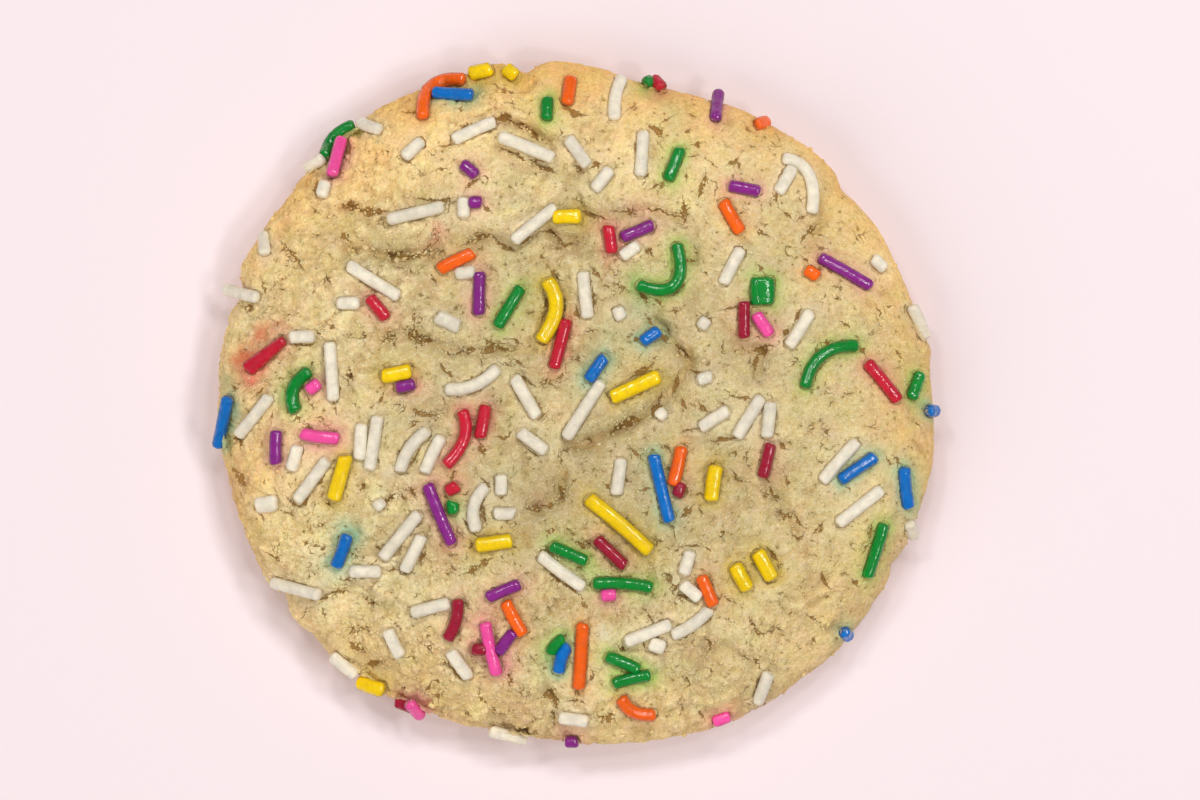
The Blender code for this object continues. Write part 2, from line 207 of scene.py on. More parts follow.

# %% [markdown]
# ## Where the dough has split
#
# As it bakes, the crust sets first and the soft dough under it keeps spreading, so the crust
# tears into plates. The broad creases are the imported solid's own: depth, then the places that
# each one runs through. The fine splits were read in the same picture: half the width in pixels,
# then the places. A soft fold is a shallow dent with no tear in it.

# %% Creases between the plates
CREASE_HALF_WIDTH = 1.1
CREASES = [
    (1.2, (343, 208), (362, 213), (390, 225)),
    (1.6, (350, 250), (392, 257), (435, 250)),
    (1.2, (455, 241), (490, 236), (515, 249), (545, 232), (575, 243)),
    (1.0, (575, 205), (600, 219), (645, 210), (690, 222), (693, 262)),
    (1.6, (495, 120), (518, 125), (548, 145)),
    (1.1, (495, 150), (522, 161), (575, 172)),
    (1.1, (385, 340), (412, 335), (440, 345), (475, 353), (530, 350)),
    (1.5, (655, 322), (690, 365), (662, 400), (625, 427), (572, 446)),
    (1.1, (560, 470), (564, 492), (540, 508)),
    (1.3, (283, 594), (312, 600), (345, 590), (395, 611)),
    (1.1, (350, 632), (360, 655), (372, 668)),
    (1.1, (550, 690), (555, 706), (558, 728)),
    (1.0, (735, 345), (760, 352), (757, 372)),
    (1.0, (770, 490), (782, 502), (795, 530)),
    (1.0, (822, 200), (825, 216), (810, 246)),
    (0.8, (715, 645), (748, 658), (775, 668)),
]
print(len(CREASES), "creases, up to", max(crease[0] for crease in CREASES), "mm deep")

# %% Fine splits
SPLITS = [
    (1, 314, 210, 317, 212), (4, 345, 207, 352, 205, 358, 210), (2.5, 358, 210, 370, 214, 385, 213),
    (2, 383, 222, 385, 226), (2.5, 343, 240, 346, 237, 349, 240), (1.5, 317, 180, 317, 196),
    (1.2, 289, 249, 295, 256, 303, 266), (1.5, 352, 248, 358, 253), (2.5, 390, 253, 393, 258, 398, 255),
    (1.5, 349, 146, 350, 155), (1.2, 298, 262, 303, 268), (2, 262, 282, 264, 290),
    (3, 240, 305, 247, 308, 252, 304), (1.2, 330, 278, 333, 284), (2, 331, 325, 336, 328),
    (1.5, 320, 332, 323, 336), (1.2, 292, 345, 312, 346, 318, 342), (3, 387, 341, 393, 337, 395, 343),
    (2.5, 350, 376, 356, 374), (1, 364, 330, 367, 345), (2.5, 232, 388, 233, 389),
    (1.5, 256, 397, 262, 392, 265, 388), (1.2, 311, 398, 315, 408), (2.5, 229, 440, 235, 437, 238, 445),
    (1.5, 381, 403, 385, 395), (1.5, 300, 415, 301, 420), (1.2, 275, 415, 274, 422),
    (1.2, 335, 402, 338, 410), (3.5, 497, 118, 505, 119, 512, 122), (2, 512, 122, 520, 127, 530, 131),
    (2, 530, 131, 536, 140), (1.5, 503, 150, 515, 155, 525, 161), (2, 532, 162, 545, 170, 553, 173),
    (2, 577, 169, 582, 172), (1, 455, 143, 470, 139, 494, 129), (1.3, 440, 148, 450, 147, 456, 146),
    (1.3, 406, 113, 417, 112), (1.5, 497, 85, 508, 92, 514, 93),
    (1.8, 562, 103, 568, 110, 575, 116, 585, 116),
    (1, 401, 161, 411, 165), (1, 432, 155, 435, 158), (1.2, 468, 190, 479, 181),
    (1.2, 420, 200, 445, 202, 455, 203), (1, 486, 208, 490, 213), (2, 433, 240, 437, 236),
    (2.5, 466, 245, 480, 238, 492, 236), (1.5, 492, 236, 505, 248, 512, 250), (1.2, 522, 245, 542, 232),
    (1.5, 545, 233, 553, 234, 564, 245, 575, 245), (2, 582, 212, 587, 215, 604, 220),
    (3, 400, 258, 410, 256, 420, 258), (3, 424, 252, 430, 252), (2.5, 594, 168, 600, 166),
    (2, 650, 128, 657, 133, 661, 138), (1, 664, 123, 670, 119), (1, 689, 114, 696, 118),
    (2.5, 695, 146, 700, 145), (1.5, 645, 178, 648, 175), (1.2, 658, 187, 664, 187),
    (1.3, 705, 174, 703, 185, 698, 200), (2.5, 683, 202, 685, 210, 684, 222), (1.5, 672, 217, 678, 217),
    (1, 646, 211, 660, 210, 671, 217), (1.5, 618, 213, 630, 213, 635, 212), (1, 728, 165, 734, 162),
    (1, 785, 214, 790, 218), (1, 757, 230, 762, 235, 769, 238), (1, 775, 200, 777, 205),
    (2, 645, 250, 650, 255), (1.5, 443, 367, 448, 371, 454, 377), (3, 408, 332, 418, 340, 432, 341),
    (1, 415, 315, 418, 350), (2, 457, 354, 477, 349), (3, 485, 352, 495, 347, 510, 351),
    (1, 447, 352, 452, 356), (1.2, 503, 364, 510, 366), (1.5, 517, 362, 524, 366),
    (1.2, 520, 376, 535, 386), (1.2, 541, 386, 548, 380, 555, 386), (1, 510, 338, 521, 345),
    (2, 419, 413, 433, 416, 445, 413), (1.2, 472, 394, 483, 389), (1.3, 500, 437, 505, 438, 511, 433),
    (1.5, 482, 445, 485, 453), (1.5, 540, 418, 546, 414), (1, 528, 448, 538, 456),
    (1.3, 551, 271, 562, 281), (1.3, 562, 298, 564, 308, 561, 320), (1.5, 546, 300, 549, 310, 542, 322),
    (1.5, 577, 310, 579, 318), (1, 593, 290, 594, 310), (1.3, 592, 270, 599, 278),
    (1.2, 557, 378, 566, 374), (1, 573, 358, 580, 361), (1, 434, 278, 437, 283), (1, 489, 268, 494, 271),
    (1.2, 612, 272, 617, 276), (1, 614, 280, 620, 288, 626, 289), (2, 640, 295, 646, 299),
    (1.5, 655, 300, 660, 304), (1.2, 671, 297, 684, 285), (1.3, 647, 319, 652, 324),
    (1.2, 632, 341, 638, 339), (2, 662, 335, 666, 341), (2, 677, 346, 682, 352, 688, 358),
    (1.5, 690, 371, 703, 375), (1.5, 677, 376, 673, 393), (2, 661, 395, 658, 405, 652, 415),
    (3, 612, 432, 625, 424, 640, 418), (2, 629, 379, 640, 372, 652, 365), (1.2, 606, 393, 609, 397),
    (1, 681, 401, 685, 406), (2, 700, 405, 705, 412), (1.2, 719, 402, 723, 405),
    (1.2, 683, 432, 698, 428), (2, 713, 441, 725, 439, 735, 438), (1, 730, 396, 748, 399),
    (1, 773, 410, 774, 425), (1.2, 708, 319, 710, 319), (2.5, 755, 350, 762, 350, 770, 347),
    (1.4, 757, 356, 754, 365, 752, 375), (1.5, 794, 320, 799, 309), (1.8, 783, 335, 786, 330),
    (1.2, 793, 357, 797, 361), (1.5, 762, 272, 759, 268), (1.2, 703, 273, 706, 276),
    (1.5, 686, 262, 692, 262), (1.8, 631, 448, 637, 453, 643, 460), (1.2, 662, 445, 669, 451),
    (1.5, 779, 443, 783, 446), (2, 808, 233, 815, 228), (1.5, 802, 240, 804, 236),
    (1, 802, 259, 806, 263), (1.2, 783, 252, 788, 256), (1.2, 856, 236, 859, 240),
    (1.8, 877, 318, 879, 323), (1.5, 842, 324, 846, 327), (2, 822, 343, 826, 342),
    (2, 859, 348, 862, 352), (0.8, 825, 392, 828, 393), (0.8, 845, 394, 850, 393),
    (1.8, 824, 430, 826, 432), (1, 829, 405, 831, 403), (1, 868, 427, 873, 428),
    (1.2, 895, 458, 900, 464), (2.2, 813, 531, 820, 523), (2, 871, 526, 869, 538),
    (1.5, 864, 548, 866, 545), (2.2, 821, 575, 823, 580, 826, 584), (1.8, 852, 580, 856, 584),
    (1.5, 891, 565, 893, 565), (3, 229, 470, 243, 487),
    (1.2, 290, 498, 294, 503, 300, 505, 307, 502, 311, 495), (1.2, 320, 485, 324, 480),
    (1.2, 261, 514, 265, 520), (1.5, 283, 510, 294, 515), (1.5, 330, 500, 333, 504),
    (2.5, 364, 488, 368, 482), (1.8, 385, 500, 393, 497, 398, 492), (1.2, 321, 525, 325, 523),
    (1, 305, 542, 312, 542), (2.2, 270, 555, 279, 560), (1, 310, 577, 318, 569),
    (1.2, 298, 597, 310, 599, 320, 600, 330, 595), (1.5, 327, 595, 342, 588, 348, 590),
    (1.5, 342, 577, 354, 580), (2, 367, 597, 376, 602), (1.8, 379, 545, 382, 548),
    (1.5, 353, 552, 358, 556), (1.5, 355, 640, 358, 632, 362, 628), (2, 362, 628, 370, 630),
    (1.3, 395, 620, 400, 624), (1.5, 412, 465, 418, 456, 422, 447), (1, 482, 478, 491, 485),
    (1.2, 484, 505, 484, 515, 487, 522), (1.2, 467, 520, 478, 534), (1.2, 512, 543, 516, 545),
    (2.2, 530, 507, 537, 508, 543, 506), (1.8, 548, 506, 553, 504), (2, 560, 487, 562, 493, 560, 500),
    (1.5, 560, 455, 562, 462), (1.5, 549, 533, 552, 528, 556, 527), (1.5, 574, 540, 585, 546),
    (2.5, 587, 541, 592, 545), (1.2, 412, 487, 418, 495), (2, 420, 560, 425, 553),
    (1, 400, 567, 414, 570), (1.2, 453, 563, 456, 569), (2.5, 466, 572, 475, 570, 490, 558),
    (1, 538, 556, 560, 580, 580, 592), (1, 525, 572, 529, 570), (1.5, 584, 600, 586, 606),
    (1.2, 466, 600, 470, 606), (2, 455, 472, 453, 478), (1.2, 624, 518, 628, 519),
    (1, 641, 490, 650, 488), (2, 683, 514, 690, 507), (1.2, 699, 508, 700, 511),
    (2, 670, 524, 674, 527), (0.8, 674, 528, 674, 537), (1.8, 721, 530, 722, 536),
    (1, 686, 545, 696, 544), (1.2, 665, 573, 671, 576), (2.5, 667, 578, 671, 581),
    (2, 672, 583, 673, 592), (1.2, 673, 592, 683, 594, 690, 599), (1.2, 769, 488, 772, 493),
    (3.2, 773, 495, 777, 497), (2.7, 779, 511, 783, 515, 788, 513), (1.5, 785, 479, 786, 484),
    (2.2, 768, 550, 773, 557), (1.5, 750, 620, 754, 626, 760, 633, 764, 633), (1.5, 767, 630, 772, 628),
    (1, 775, 626, 780, 630), (1.2, 727, 597, 731, 600), (1.2, 606, 484, 609, 487), (1, 626, 479, 629, 480),
    (4, 350, 645, 355, 650, 362, 654), (2, 358, 634, 361, 629), (3, 365, 668, 372, 667, 380, 664),
    (1.8, 428, 643, 432, 650), (1.2, 408, 657, 415, 657), (1.8, 446, 660, 452, 665, 463, 679),
    (1.5, 425, 692, 430, 684), (1, 436, 681, 440, 681), (1.5, 465, 714, 469, 717),
    (1, 480, 690, 481, 700, 485, 703), (1.5, 489, 708, 496, 712), (1.3, 592, 668, 594, 673, 590, 678),
    (1.5, 577, 688, 579, 692), (1, 570, 701, 579, 699, 585, 702), (1.3, 509, 670, 510, 678, 511, 685),
    (1.5, 518, 655, 521, 660), (1, 533, 655, 536, 660), (3, 542, 696, 550, 692, 554, 700, 556, 708),
    (1.8, 553, 712, 554, 728), (2.5, 600, 716, 606, 718, 611, 713, 615, 719),
    (1.6, 683, 675, 687, 677, 689, 682), (1.2, 680, 703, 683, 706, 681, 710), (1.2, 643, 641, 644, 645),
    (1.2, 650, 650, 665, 650), (2, 620, 645, 624, 648), (1.3, 809, 616, 815, 619),
    (1, 742, 655, 747, 658), (1.5, 755, 660, 760, 667), (2, 699, 710, 702, 714),
    (1.2, 747, 704, 750, 702), (1.5, 509, 713, 512, 711),
]
# Soft folds, half width in pixels, then the places: shallow dents, each painted with a brown shade
SOFT_FOLDS = [
    (2.5, 327, 205, 330, 212, 328, 216), (2.5, 568, 176, 577, 175, 590, 172), (2, 524, 92, 530, 88, 536, 81),
    (2, 652, 147, 655, 152, 651, 160), (4, 728, 122, 729, 123), (3, 740, 240, 748, 244),
    (4, 565, 437, 575, 445, 598, 445), (2, 690, 350, 692, 360, 690, 368), (1.5, 720, 320, 735, 335),
    (3.5, 821, 205, 824, 212, 818, 230), (2, 882, 294, 888, 294), (2, 866, 302, 870, 306),
    (1.5, 912, 441, 917, 445, 920, 452), (3.5, 804, 491, 810, 490), (2, 305, 523, 314, 531),
    (3, 488, 531, 491, 528), (2.5, 567, 472, 564, 480), (3, 525, 532, 530, 545),
    (3, 445, 548, 460, 560), (1, 788, 515, 792, 530), (4, 603, 612, 615, 620, 622, 612),
    (3, 425, 703, 437, 710), (3, 635, 730, 645, 728), (2.5, 670, 645, 680, 642, 690, 640),
    (2.5, 826, 626, 838, 626), (3, 773, 668, 778, 672), (2, 771, 682, 775, 688),
]
print(len(SPLITS), "fine splits and", len(SOFT_FOLDS), "soft folds")

# %% Distance from a path, and the creases' depth


def nearest_on_path(points, path):
    """For each point: its distance from a path of straight runs, the share of the way along it,
    and which side of the path it lies on, 1 on the left and -1 on the right."""
    best = np.full(len(points), np.inf)
    share = np.zeros(len(points))
    side = np.ones(len(points))
    for step, (start, end) in enumerate(zip(path, path[1:])):
        run = end - start
        away = points - start
        along = np.clip(away @ run / (run @ run), 0.0, 1.0)
        gap = np.linalg.norm(away - along[:, None] * run, axis=1)
        nearer = gap < best
        best = np.where(nearer, gap, best)
        share = np.where(nearer, (step + along) / (len(path) - 1), share)
        left = run[0] * away[:, 1] - run[1] * away[:, 0] >= 0.0
        side = np.where(nearer, np.where(left, 1.0, -1.0), side)
    return best, share, side


def crease_depth(flat, half_width):
    """Depth of the creases: each is a rounded groove along its path."""
    depth = np.zeros(len(flat))
    for deep, *places in CREASES:
        gap, _, _ = nearest_on_path(flat, picture_to_mm(places))
        depth = np.maximum(depth, deep * np.exp(-(gap / half_width) ** 2))
    return depth


print("depth in the middle of the first crease:",
      crease_depth(picture_to_mm([(362, 213)]), CREASE_HALF_WIDTH).round(2), "mm")

# %% [markdown]
# ## Where each sprinkle lies
#
# The bright sprinkles are what makes this cookie itself, so their ends were read one by one.
# Two places are the ends of a straight one. Three are an end, the middle and the other end of
# one that is bent. A few short white bits between them follow a rule instead: of sixty random
# tries each takes the place that is farthest from its neighbours.

# %% Places of the sprinkles, by colour
WHITE = [
    (500, 138, 554, 160), (389, 221, 445, 208), (350, 266, 401, 298), (332, 343, 336, 401),
    (514, 243, 556, 209), (583, 273, 588, 319), (622, 78, 615, 99, 615, 121),
    (643, 133, 640, 178), (782, 159, 808, 175, 811, 214), (740, 250, 722, 285),
    (224, 289, 259, 298), (272, 396, 239, 436), (330, 459, 299, 500), (380, 416, 372, 469),
    (430, 430, 412, 447, 402, 471), (443, 436, 426, 472), (447, 389, 475, 386, 499, 368),
    (515, 377, 538, 417), (602, 382, 566, 438), (488, 485, 475, 505, 478, 530),
    (809, 312, 787, 347), (760, 397, 735, 437), (855, 441, 820, 481), (880, 489, 836, 523),
    (421, 512, 384, 557), (272, 582, 322, 594), (540, 553, 584, 586), (625, 640, 670, 622),
    (671, 633, 692, 623, 709, 607), (413, 611, 451, 601), (424, 534, 406, 570),
    (454, 142, 496, 123), (914, 305, 929, 338), (490, 731, 526, 741), (305, 168, 324, 158),
    (327, 660, 352, 681), (792, 168, 777, 194), (872, 258, 884, 270), (699, 428, 727, 410),
    (769, 402, 765, 437), (768, 672, 757, 703), (559, 716, 588, 720), (909, 523, 915, 538),
    (340, 304, 362, 304), (292, 338, 317, 337), (364, 424, 362, 459), (301, 445, 294, 470),
    (258, 505, 279, 502), (352, 570, 383, 570), (502, 474, 502, 494), (495, 512, 516, 512),
    (457, 275, 476, 272), (438, 317, 461, 328), (520, 431, 547, 451), (405, 159, 423, 142),
    (568, 140, 588, 168), (465, 199, 465, 219), (594, 192, 610, 171), (621, 258, 638, 246),
    (621, 458, 616, 494), (690, 550, 683, 573), (681, 582, 699, 597), (359, 122, 381, 131),
    (264, 233, 266, 254), (327, 182, 323, 198), (389, 628, 402, 655), (451, 649, 470, 676),
    (649, 641, 664, 646),
]
YELLOW = [
    (553, 219, 581, 218), (547, 281, 556, 309, 541, 342), (384, 377, 413, 371),
    (611, 398, 659, 376), (349, 455, 336, 499), (588, 497, 650, 550), (477, 544, 513, 539),
    (715, 465, 710, 500), (733, 563, 747, 588), (756, 550, 771, 578), (358, 682, 384, 690),
    (469, 74, 492, 69), (505, 68, 517, 77),
]
ORANGE = [
    (424, 120, 431, 86, 465, 80), (571, 78, 567, 106), (756, 125, 768, 121),
    (440, 271, 475, 254), (722, 202, 740, 234), (804, 270, 817, 278), (681, 446, 672, 485),
    (506, 599, 524, 633), (583, 621, 579, 687), (700, 574, 713, 604),
    (621, 695, 633, 710, 655, 713),
]
RED = [
    (653, 77, 663, 88), (371, 298, 389, 320), (287, 340, 249, 370), (608, 227, 612, 255),
    (567, 320, 554, 369), (463, 410, 466, 437, 447, 465), (487, 405, 481, 438),
    (448, 491, 460, 485), (865, 362, 897, 401),
]
CRIMSON = [
    (743, 302, 743, 339), (769, 443, 761, 477), (681, 482, 676, 496), (596, 537, 625, 565),
    (459, 597, 457, 618, 448, 638), (473, 647, 488, 647), (393, 706, 412, 713),
]
PINK = [
    (342, 138, 333, 177), (754, 314, 769, 336), (310, 391, 322, 382),
    (304, 433, 322, 437, 342, 438), (486, 620, 498, 673), (601, 594, 616, 593),
    (409, 702, 421, 717), (713, 722, 730, 716),
]
PURPLE = [
    (463, 165, 478, 178), (470, 204, 483, 204), (719, 91, 715, 121), (728, 187, 759, 193),
    (621, 239, 653, 226), (481, 273, 480, 316), (818, 258, 870, 287), (398, 388, 417, 384),
    (279, 430, 278, 464), (429, 483, 454, 543), (488, 596, 521, 582), (515, 629, 499, 651),
    (565, 742, 578, 742),
]
BLUE = [
    (433, 93, 474, 96), (641, 343, 659, 331), (588, 381, 605, 357), (229, 397, 217, 447),
    (653, 454, 669, 521), (350, 533, 338, 566), (838, 480, 874, 456), (903, 467, 908, 508),
    (928, 411, 937, 411), (843, 631, 849, 637), (570, 644, 562, 653, 559, 671),
]
GREEN = [
    (325, 157, 334, 137, 354, 124), (548, 99, 547, 122), (647, 76, 653, 72),
    (680, 150, 667, 182), (676, 245, 674, 286, 637, 286), (522, 288, 498, 328),
    (755, 279, 755, 306), (767, 278, 767, 305), (856, 346, 820, 356, 803, 388),
    (920, 373, 910, 399), (313, 371, 295, 389, 299, 412), (453, 500, 454, 513),
    (551, 544, 587, 560), (593, 582, 622, 582, 652, 586), (565, 636, 556, 643, 551, 652),
    (606, 654, 639, 668), (613, 682, 631, 676, 650, 673), (883, 523, 866, 577),
]
print(sum(map(len, (WHITE, YELLOW, ORANGE, RED, CRIMSON, PINK, PURPLE, BLUE, GREEN))), "places read")

# %% [markdown]
# ## Colours of the sprinkles
#
# Sugar strands are sugar and starch with food dye, pushed through a plate, cut and glazed. Next
# to each colour stand its strands' diameter, the tint that its dye leaves in the dough, how
# strong that tint is and how flat the strand has melted. Round a white one the tint is a pale
# ring painted as light over the shade beside the strand.

# %% Colour table


def hex_to_linear(code):
    """sRGB hex such as F0E0C0 to the linear red, green and blue that shaders take."""
    shares = np.array([int(code[place:place + 2], 16) for place in (0, 2, 4)]) / 255.0
    return np.where(shares <= 0.04045, shares / 12.92, ((shares + 0.055) / 1.055) ** 2.4)


# Places, diameter, colour, tint in the dough (for white, pale light painted over the shade beside it),
# strength of the tint, height as share of width
SPRINKLES = {
    "white": (WHITE, 1.35, "EFE5D0", "EFE2BE", 0.40, 0.85),
    "yellow": (YELLOW, 1.65, "FFD200", "D2B23C", 0.80, 0.75),
    "orange": (ORANGE, 1.45, "FF660C", "ECAC64", 0.65, 0.85),
    "red": (RED, 1.4, "CC1C34", "E48E78", 0.75, 0.95),
    "crimson": (CRIMSON, 1.35, "A01632", "DC9C80", 0.60, 0.95),
    "pink": (PINK, 1.4, "FF54A6", "F0A098", 0.75, 0.9),
    "purple": (PURPLE, 1.35, "8C2486", "E4988E", 0.70, 0.95),
    "blue": (BLUE, 1.4, "006EC2", "94C49C", 0.80, 0.95),
    "green": (GREEN, 1.35, "008A2E", "A8C860", 0.85, 0.95),
}
FILL_COUNT = 5
FILL_LENGTHS = (1.0, 1.7)
FILL_TRIES = 60
FILL_MIDDLE = (-7.0, 0.5)
FILL_RADIUS = 28.0
LIFT_SHARES = (0.05, 0.45)
RIM_REACH = 0.992
POINTS_ON_A_BEND = 5
SEED = 17
print("white sugar in linear light:", hex_to_linear(SPRINKLES["white"][2]).round(3))

# %% [markdown]
# ## Middle lines of the strands
#
# Each strand's middle line lies a little above the smooth top, by a share of its radius that is
# drawn for it, so some sit proud and some are half drowned. The draws come in the same order as
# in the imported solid, so both put every strand at the same height.

# %% Middle lines
BROAD_LUMP = 0.5
BROAD_SIZE = 11.0
BROAD_SEED = 1
SMALL_LUMP = 0.5
SMALL_SIZE = 4.2
SMALL_SEED = 2


def lumps(points):
    """Uneven swelling of the dough, broad and small."""
    return (BROAD_LUMP * smooth_noise(points, BROAD_SIZE, BROAD_SEED)
            + SMALL_LUMP * smooth_noise(points, SMALL_SIZE, SMALL_SEED))


def top_surface(flat):
    """Lumpy top, without its creases, above each flat place."""
    reach, angles = reach_of(flat)
    reach = np.minimum(reach, 1.0)
    height = top_height(reach, angles)
    return height + lumps(np.column_stack([flat, height])) * (1.0 - shoulder(reach))


def sprinkle_path(row):
    """Points along a sprinkle's middle line, seen from above."""
    places = picture_to_mm(row)
    if len(places) == 2:
        return places
    start, middle, end = places
    handle = 2.0 * middle - 0.5 * (start + end)
    share = np.linspace(0.0, 1.0, POINTS_ON_A_BEND)[:, None]
    return (1.0 - share) ** 2 * start + 2.0 * share * (1.0 - share) * handle + share ** 2 * end


def filling_paths(taken, rng):
    """Short straight bits, each the candidate that lies farthest from its neighbours."""
    taken = [point for path in taken for point in np.vstack([path, path.mean(axis=0)])]
    paths = []
    for length in np.sort(rng.uniform(*FILL_LENGTHS, FILL_COUNT))[::-1]:
        spin = rng.uniform(0.0, 2.0 * math.pi, FILL_TRIES)
        radius = np.sqrt(rng.uniform(0.0, 1.0, FILL_TRIES)) * FILL_RADIUS
        middle = FILL_MIDDLE + np.column_stack([np.cos(spin), np.sin(spin)]) * radius[:, None]
        heading = rng.uniform(0.0, math.pi, FILL_TRIES)
        half = np.column_stack([np.cos(heading), np.sin(heading)]) * length / 2.0
        points = np.stack([middle - half, middle, middle + half], axis=1)
        gaps = np.linalg.norm(points[:, :, None] - np.array(taken)[None, None], axis=3)
        best = points[np.argmax(gaps.min(axis=(1, 2)))]
        taken.extend(best)
        paths.append(best[[0, 2]])
    return paths


rng = np.random.default_rng(SEED)
flat_paths = {colour: [sprinkle_path(row) for row in entry[0]]
              for colour, entry in SPRINKLES.items()}
flat_paths["white"] += filling_paths([path for group in flat_paths.values() for path in group], rng)
axes = {}
for colour, group in flat_paths.items():
    radius = SPRINKLES[colour][1] / 2.0
    axes[colour] = []
    for path in group:
        reach, _ = reach_of(path)
        path = path * min(1.0, RIM_REACH / reach.min())
        height = top_surface(path) + rng.uniform(*LIFT_SHARES) * radius
        axes[colour].append(np.column_stack([path, height]))
print("sprinkles:", {colour: len(group) for colour, group in axes.items()},
      "in all", sum(len(group) for group in axes.values()))

# %% [markdown]
# ## Putting a surface into a mesh
#
# Each piece below is an array of points and an array of faces. This helper hands them to
# Blender, shades them smooth and gives the object its material. The object stays at the origin,
# so a pattern in object coordinates lies still. Numbers that belong to each point, such as how
# browned it is, go in as attributes, which a material reads by name.

# %% Mesh helper


def add_piece(name, points, faces, material, numbers=None, colours=None):
    """A mesh from points in millimetres and faces as rows of point numbers."""
    mesh = bpy.data.meshes.new(name)
    mesh.from_pydata(points * MM, [], faces)
    mesh.shade_smooth()
    mesh.update()
    mesh.materials.append(material)
    for key, values in (numbers or {}).items():
        attribute = mesh.attributes.new(key, "FLOAT", "POINT")
        attribute.data.foreach_set("value", values.astype(np.float32))
    for key, values in (colours or {}).items():
        attribute = mesh.attributes.new(key, "FLOAT_COLOR", "POINT")
        attribute.data.foreach_set("color", values.astype(np.float32).ravel())
    piece = bpy.data.objects.new(name, mesh)
    bpy.context.scene.collection.objects.link(piece)
    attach(piece, "root")
    print(f"{name}: {len(points)} points, {sum(len(face) - 2 for face in faces)} triangles")
    return piece


# %% [markdown]
# ## Node helper
#
# Materials are node graphs. One small function adds a node, sets its properties, fills or links
# its inputs and hands back one of its outputs, so that a material reads as a list of steps. Where
# inputs have numbers, a MapRange takes a value at 0, the range it runs over at 1 and 2 and what
# that becomes at 3 and 4, and a Mix of colours takes its share at 0 and its colours at 6 and 7.

# %% Material helper


def add_node(material, kind, inputs=None, out=0, **settings):
    """Add a node. Inputs, by name or number, take a value or another node's output."""
    node = material.node_tree.nodes.new(kind)
    for name, value in settings.items():
        setattr(node, name, value)
    for key, value in (inputs or {}).items():
        if isinstance(value, bpy.types.NodeSocket):
            material.node_tree.links.new(value, node.inputs[key])
        else:
            node.inputs[key].default_value = value
    return node.outputs[out] if len(node.outputs) else None


def new_material(name):
    """An empty material, ready for nodes."""
    material = bpy.data.materials.new(name)
    material.use_nodes = True
    material.node_tree.nodes.clear()
    return material


def rgba(code, shade=1.0):
    """A hex colour, made lighter or darker by a factor, as the four numbers of a colour socket."""
    return (*np.minimum(hex_to_linear(code) * shade, 1.0), 1.0)


PALE_CRUST = "DEC994"
print("pale crust as a colour socket takes it:", np.round(rgba(PALE_CRUST), 3))

# %% [markdown]
# ## Baked dough
#
# Flour, butter and sugar baked until only the rim has turned golden: matt, sandy, a little
# translucent and full of small tears. A picture of it could be painted in a texture, but a
# texture this fine would be huge. So the mesh carries what depends on the form, such as how
# browned each point is and how far it lies from the nearest split, and noise in object
# coordinates adds what is finer than the mesh: mottles of 1 to 2 mm, crumbs of 0.5 mm and the
# sandy grain of the sugar at 0.2 mm. A split is painted dark, as the shade inside it, where the
# distance, shaken by fine noise, falls under its half width, which leaves a jagged edge however
# near the camera comes. A pore is painted dark as shade where the crumb noise is at its lowest.
# The hollows of the crumb noise are painted darker and warmer as shade, its tops paler as light.

# %% Dough material, noise in four sizes
PATCH_SIZE = 2.2
MOTTLE_SIZE = 1.1
CRUMB_SIZE = 0.5
GRAIN_SIZE = 0.22
dough = new_material("baked_sugar_dough")
place = add_node(dough, "ShaderNodeTexCoord", out="Object")
patch = add_node(dough, "ShaderNodeTexNoise", {
    "Vector": place, "Scale": 1.0 / (PATCH_SIZE * MM), "Detail": 3.0, "Roughness": 0.6}, out="Color")
mottle = add_node(dough, "ShaderNodeTexNoise", {
    "Vector": place, "Scale": 1.0 / (MOTTLE_SIZE * MM), "Detail": 3.0, "Roughness": 0.6})
crumb = add_node(dough, "ShaderNodeTexNoise", {
    "Vector": place, "Scale": 1.0 / (CRUMB_SIZE * MM), "Detail": 2.0, "Roughness": 0.6})
grain = add_node(dough, "ShaderNodeTexNoise", {
    "Vector": place, "Scale": 1.0 / (GRAIN_SIZE * MM), "Detail": 2.0, "Roughness": 0.7})
print("noise sizes, mm:", PATCH_SIZE, MOTTLE_SIZE, CRUMB_SIZE, GRAIN_SIZE)

# %% Dough material, colour
GOLDEN_CRUST = "ECBB6A"
PAINTED_FOLD_SHADE = "A47A32"
PATCH_SHARE = 0.20
TONE_ON_CRUMBS = 0.9
# Factors on red, green and blue: hollows between crumbs painted darker and warmer as shade, tops paler as
# light
HOLLOW_PAINTED_SHADE = (0.90, 0.84, 0.70, 1.0)
CRUMB_PAINTED_LIGHT = (1.09, 1.13, 1.26, 1.0)
browned = add_node(dough, "ShaderNodeAttribute", out="Fac", attribute_name="browned")
tone = add_node(dough, "ShaderNodeAttribute", out="Fac", attribute_name="tone")
soft = add_node(dough, "ShaderNodeAttribute", out="Fac", attribute_name="soft")
crust = add_node(dough, "ShaderNodeMix", {0: browned, 6: rgba(PALE_CRUST), 7: rgba(GOLDEN_CRUST)},
                 out=2, data_type="RGBA")
crust = add_node(dough, "ShaderNodeMix", {0: PATCH_SHARE, 6: crust, 7: patch},
                 out=2, data_type="RGBA", blend_type="OVERLAY")
crumb_lit_share = add_node(dough, "ShaderNodeMapRange", {0: crumb, 1: 0.30, 2: 0.70, 3: -0.8, 4: 0.2})
crumb_lit_share = add_node(dough, "ShaderNodeMath", {0: tone, 1: TONE_ON_CRUMBS, 2: crumb_lit_share},
                       operation="MULTIPLY_ADD", use_clamp=True)
crumb_light_and_shade = add_node(dough, "ShaderNodeMix", {0: crumb_lit_share, 6: HOLLOW_PAINTED_SHADE, 7: CRUMB_PAINTED_LIGHT},
                  out=2, data_type="RGBA")
crust = add_node(dough, "ShaderNodeMix", {0: 1.0, 6: crust, 7: crumb_light_and_shade},
                 out=2, data_type="RGBA", blend_type="MULTIPLY")
